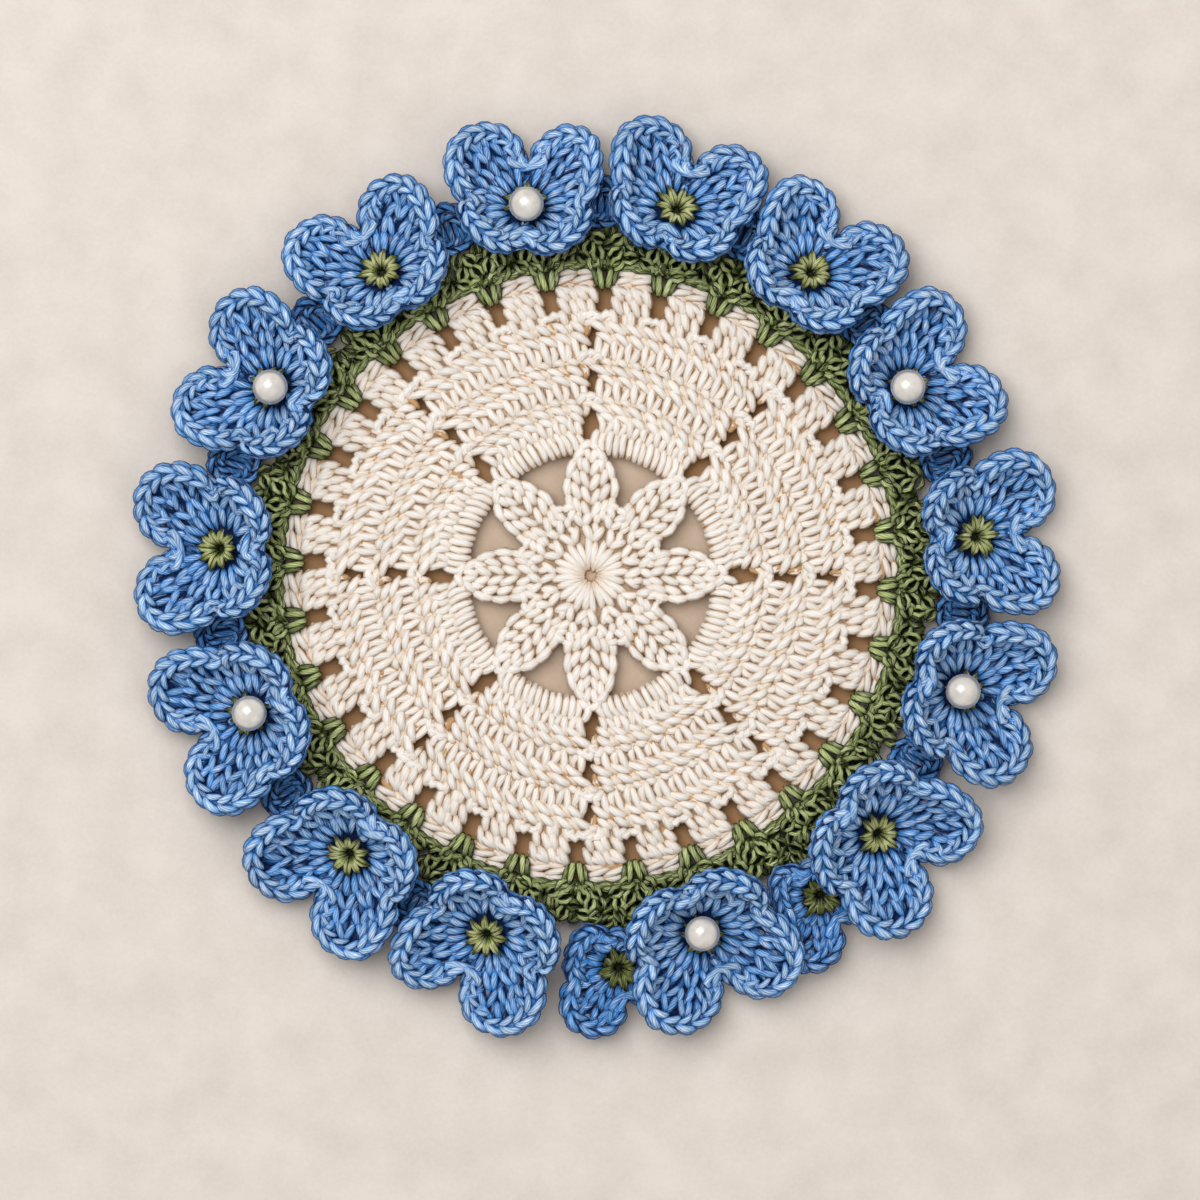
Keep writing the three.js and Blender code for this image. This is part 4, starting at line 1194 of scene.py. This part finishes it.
def eyeStitches(flower):
    # each ray is a leaf of two strands that rise from the funnel and meet in its tip, over a
    # lower round of single strands
    surface = eyeSurface(flower)
    count = eye["rays"]
    shade = flower["form"]["shade"]
    angle = ringOfAngles(count) + chance.normal(0, eye["turnVaries"], count)
    tip = eye["tip"] + chance.normal(0, eye["tipVaries"], count)
    low = raysOut(angle + eye["lowTurn"], eye["lowArcs"], (0, 0, 0), eye["lowHeights"])
    # the lower round lies in painted shade, by lowShade
    batches = [layStrands(surface, low, *eye["lowSize"], eye["lowShade"] * shade, wobble=0.08, taper=0.9)]
    for side in (-1, 1):
        turns = [side * turn for turn in eye["leafTurns"]]
        leaf = raysOut(angle, (*eye["leafArcs"], tip), turns, eye["leafHeights"])
        batches.append(layStrands(surface, leaf, *eye["leafSize"], shade, wobble=0.05, taper=0.8))
    return batches


def eyeDisc(flower):
    # a small disc of ground under the rays closes the eye: its upper and its lower face
    rays = raysOut(ringOfAngles(eye["discSteps"]), eye["discArcs"], (0, 0, 0), (0, 0, 0))
    place, up = eyeSurface(flower)(rays[..., 0], rays[..., 1])
    return [np.swapaxes(place - depth * up, 0, 1) for depth in eye["discDepths"]]


def makeFlowers():
    for index, flower in enumerate(flowers):
        sides = sideRooms(flower, index)
        name = flower["name"]
        stitches = joinStrands(f"flowerStitches{name}", flowerStitches(flower, sides), blueYarn)
        upper, lower, area = flowerGround(flower, sides)
        ground = closedSheet(f"flowerGround{name}", upper, lower, blueGround)
        star = joinStrands(f"eyeStitches{name}", eyeStitches(flower), oliveYarn)
        disc = closedSheet(f"eyeGround{name}", *eyeDisc(flower), greenGround)
        standFor(f"flower_{name}", "blue_cotton", stitches, ground)
        standFor(f"flower_eye_{name}", "green_cotton", star, disc)
        # The tucked flowers, whose hidden petals are short, have a ground of 0.274 and 0.278 of the square
        # of their width; the area is raised to a least share of that square, and nothing uses it. A
        # sheet's area has to be 0.3 of its square or more. The tucked flowers, whose hidden petals are
        # short, measure 0.274 and 0.278 of it, so they state a little more than they have.
        width = 2 * flower["form"]["reach"] * metresPerMm
        area = max(area, petal["leastArea"] * width ** 2)
    print("stage:", len(flowers), "flowers")


makeFlowers()

# The pearls

# Lengths are in mm: lift and inward place the bead over the eye; lean turns its thread hole, which
# lies nearly level, as the bead is sewn on through it
pearl = dict(radius=3.15, lift=6.22, inward=2.0, hole=0.32, dimple=0.25, lean=70, around=48, along=26)


def pearlBead(name):
    # Pearlised bead: a glossy lacquer with ground mother-of-pearl over a round bead. The eye sees a
    # warm white body, soft light under the surface and a clear bright highlight.
    material, tree = newMaterial(name)
    place = addNode(tree, "TexCoord").outputs["Object"]
    cloud = addNode(tree, "TexNoise", None, {"Scale": perMetre(2.2), "Detail": 3.0}, {"Vector": place})
    body = addNode(tree, "ValToRGB", links={"Fac": cloud})
    setStops(body, (0.35, "#CFCBC5"), (0.65, "#E6E2DC"))
    # painted reflection: towards its edge, by how squarely it faces the camera, the body is darkened to
    # a grey ring with a paler one inside it, and kept white in its middle
    facing = addNode(tree, "LayerWeight", None, {"Blend": 0.35})
    ring = addNode(tree, "ValToRGB", links={"Fac": facing.outputs["Facing"]})
    setStops(ring, (0.25, "#FFFFFF"), (0.42, "#B8B6B4"), (0.58, "#DCE0E2"), (0.95, "#8E9292"))
    paintedReflection = addNode(tree, "Mix", {"data_type": "RGBA", "blend_type": "MULTIPLY"}, {"Factor": 1.0},
                    {"A": body, "B": ring})
    grain = addNode(tree, "TexNoise", None, {"Scale": perMetre(0.25), "Detail": 2.0}, {"Vector": place})
    bump = addNode(tree, "Bump", None, {"Strength": 0.15, "Distance": 0.02 * metresPerMm}, {"Height": grain})
    shader = addNode(tree, "BsdfPrincipled", None,
                     {"Roughness": 0.32, "IOR": 1.53, "Specular IOR Level": 0.8, "Coat Weight": 1.0,
                      "Coat Roughness": 0.05, "Coat IOR": 1.55, "Subsurface Weight": 0.15,
                      "Subsurface Scale": 0.5 * metresPerMm},
                     {"Base Color": paintedReflection.outputs["Result"], "Normal": bump})
    addNode(tree, "OutputMaterial", links={"Surface": shader})
    return material


def pearlMesh(flower, material):
    # a ball by latitude and turn: radius * (sin(lat) * cos(turn), sin(lat) * sin(turn), cos(lat)),
    # with a small dimple at each end of the thread hole, exp(-(distance from the pole / hole) ** 2)
    lat = np.linspace(0, np.pi, pearl["along"])[1:-1, None]
    toPole = pearl["radius"] * np.minimum(lat, np.pi - lat)
    radius = pearl["radius"] - pearl["dimple"] * np.exp(-(toPole / pearl["hole"]) ** 2)
    ball = polar(ringOfAngles(pearl["around"]), radius * np.sin(lat), radius * np.cos(lat))
    pole = np.array([[0, 0, pearl["radius"] - pearl["dimple"]]])
    x, y, z = np.concatenate([pole, ball.reshape(-1, 3), -pole]).T
    x, z = turned(x, z, -pearl["lean"])
    x, z = turned(x - pearl["inward"], z + pearl["lift"], -flower["form"]["tilt"])
    quads, tris, *_ = strandFaces(pearl["along"], pearl["around"])
    return buildObject("pearl" + flower["name"], flowerToWorld(flower, x, y, z), quads, tris, material)


pearlLacquer = pearlBead("pearlisedBeadLacquer")
for flower in flowers:
    if flower["pearl"]:
        standFor("pearl_" + flower["name"], "pearl_bead", pearlMesh(flower, pearlLacquer))
print("stage: pearls")

# The low petals between two standing flowers

# Each post runs at a distance from the middle line: mm along, share of that distance, and height.
# Its size is its width, thickness, bluntness, where it is fullest, and its depth, which dims its
# painted light into painted shade. shade is the painted shade of the whole petal, under the flowers.
lowPetal = dict(
    inner=62.2, length=10.5, width=9.0, slope=7, foot=0.4, halfThickness=1.0, shade=0.78,
    posts=(-2.6, -1.3, 0.0, 1.3, 2.6), postPoints=((1.2, 0.7, 0.2), (4.2, 1.0, 0.6), (7.6, 0.95, 0.2)),
    postSize=(1.45, 1.1, 3.0, 0.5, 0.6), ground=(0.3, -0.3), groundInset=0.8,
    groundRings=(0.1, 0.4, 0.7, 1.0), groundSteps=36,
)


def lowPetalSurface(angle, facing=1.0):
    # a level ellipse tipped up outward by its slope, on the line between its two flowers
    slope = lowPetal["slope"]

    def surface(along, across):
        out, z = turned(along, lowPetal["halfThickness"], slope)
        x, y = turned(lowPetal["inner"] + out, across, angle)
        place = np.stack([x, y, lowPetal["foot"] + z], -1)
        return place, np.broadcast_to(leaningNormal(-slope, angle) * facing, place.shape)
    return surface


def ellipseOutline():
    # the ellipse by arc length, with its inward direction
    angle = ringOfAngles(720)
    half = (lowPetal["length"] / 2, lowPetal["width"] / 2)
    place = np.stack([half[0] * (1 + np.cos(angle)), half[1] * np.sin(angle)], -1)
    return place, inwardOf(place), np.sum(np.linalg.norm(stepsAlong(place), axis=1))


def makeLowPetals():
    outline = ellipseOutline()
    half, inset = lowPetal["length"] / 2, lowPetal["groundInset"]
    posts = np.array([[(x, y * share, height) for x, share, height in lowPetal["postPoints"]]
                      for y in lowPetal["posts"]])
    turn, shares = ringOfAngles(lowPetal["groundSteps"]), np.array(lowPetal["groundRings"])[:, None]
    made = 0
    for index, flower in enumerate(flowers):
        after = flowers[(index + 1) % len(flowers)]
        if not (flower["standing"] and after["standing"]):
            continue
        between = flowerDirection(flower) + flowerDirection(after)
        angle = math.degrees(math.atan2(between[1], between[0]))
        batches = []
        for facing in (1.0, -1.0):
            surface = lowPetalSurface(angle, facing)
            edge = edgeOnTop(outline, surface) if facing > 0 else edgeBelow(outline)
            batches.append(layPattern(surface, *edge, lowPetal["shade"], rings=6))
            batches.append(layStrands(surface, posts, *lowPetal["postSize"]))
        stitches = joinStrands("lowPetalStitches" + flower["name"], batches, blueYarn)
        along = half + (half - inset) * shares * np.cos(turn)
        across = (lowPetal["width"] / 2 - inset) * shares * np.sin(turn)
        place, up = lowPetalSurface(angle)(along, across)
        upper, lower = (place + height * up for height in lowPetal["ground"])
        ground = closedSheet("lowPetalGround" + flower["name"], upper, lower, blueGround)
        standFor("low_petal_" + flower["name"], "blue_cotton", stitches, ground)
        # the petal is 9 mm wide, but the least side that a sheet may state is 10 mm
        made += 1
    print("stage:", made, "low petals")


makeLowPetals()

# Floor and light


def paperFloor():
    # Uncoated paper board: matt, with short pale fibres and a few fine specks
    material, tree = newMaterial("uncoatedPaperBoard")
    place = addNode(tree, "TexCoord").outputs["Object"]
    broad, fine = (addNode(tree, "TexNoise", None, {"Scale": perMetre(size), "Detail": 4.0},
                           {"Vector": place}) for size in (9, 0.7))
    both = addNode(tree, "Math", {"operation": "MULTIPLY_ADD"}, {1: 0.5}, {0: fine, 2: broad})
    board = addNode(tree, "ValToRGB", links={"Fac": both})
    setStops(board, (0.45, "#D5CCC3"), (0.95, "#E1D9D1"))
    # under the mat the light has come through cream cotton and is warm and dim: by the distance
    # from the mat's middle, in metres
    distance = addNode(tree, "VectorMath", {"operation": "LENGTH"}, None, {0: place}).outputs["Value"]
    under = addNode(tree, "MapRange", None,
                    {"From Min": 0.0, "From Max": 60 * metresPerMm, "To Min": 0.0, "To Max": 1.0},
                    {"Value": distance})
    warmth = addNode(tree, "ValToRGB", links={"Fac": under})
    setStops(warmth, (0.37, studio["warmMiddle"]), (0.42, studio["warmRim"]), (0.87, studio["warmRim"]),
             (0.92, "#FFFFFF"))
    toned = addNode(tree, "Mix", {"data_type": "RGBA", "blend_type": "MULTIPLY"}, {"Factor": 1.0},
                    {"A": board, "B": warmth})
    bump = addNode(tree, "Bump", None, {"Strength": 0.3, "Distance": 0.1 * metresPerMm}, {"Height": fine})
    shader = addNode(tree, "BsdfPrincipled", None, {"Roughness": 0.9, "Specular IOR Level": 0.2},
                     {"Base Color": toned.outputs["Result"], "Normal": bump})
    addNode(tree, "OutputMaterial", links={"Surface": shader})
    return material


# warmMiddle and warmRim tone the floor under the mat with painted warm shade
studio = dict(floorSide=6.0, floorHeight=-0.0012, sky="#F2EDE8", skyStrength=0.45, warmMiddle="#EBDCCB",
              warmRim="#D0A87E", lamps=[
                  dict(name="windowLight", place=(-0.34, 0.38, 1.1), size=1.0, power=12.0),
                  dict(name="softFill", place=(0.7, -0.5, 1.0), size=1.2, power=2.5),
              ])


def addLamp(name, place, size, power):
    # a square lamp that looks at the middle of the mat
    data = bpy.data.lights.new(name, "AREA")
    data.size = size
    data.energy = power
    lamp = bpy.data.objects.new(name, data)
    lamp.location = place
    lamp.rotation_mode = "QUATERNION"
    lamp.rotation_quaternion = (-Vector(place)).to_track_quat("-Z", "Y")
    bpy.context.scene.collection.objects.link(lamp)


def dressStudio():
    half, z = studio["floorSide"] / 2, studio["floorHeight"]
    mesh = bpy.data.meshes.new("floor")
    corners = [(x * half, y * half, z) for x, y in ((-1, -1), (1, -1), (1, 1), (-1, 1))]
    mesh.from_pydata(corners, [], [(0, 1, 2, 3)])
    mesh.materials.append(paperFloor())
    floor = bpy.data.objects.new("floor", mesh)
    bpy.context.scene.collection.objects.link(floor)
    for lamp in studio["lamps"]:
        addLamp(**lamp)
    world = bpy.data.worlds.new("studioSky")
    bpy.context.scene.world = world
    world.use_nodes = True
    background = world.node_tree.nodes["Background"]
    background.inputs["Color"].default_value = linearColour(studio["sky"])
    background.inputs["Strength"].default_value = studio["skyStrength"]
    bpy.context.scene.view_settings.view_transform = "Standard"


dressStudio()
print("stage: floor and light")
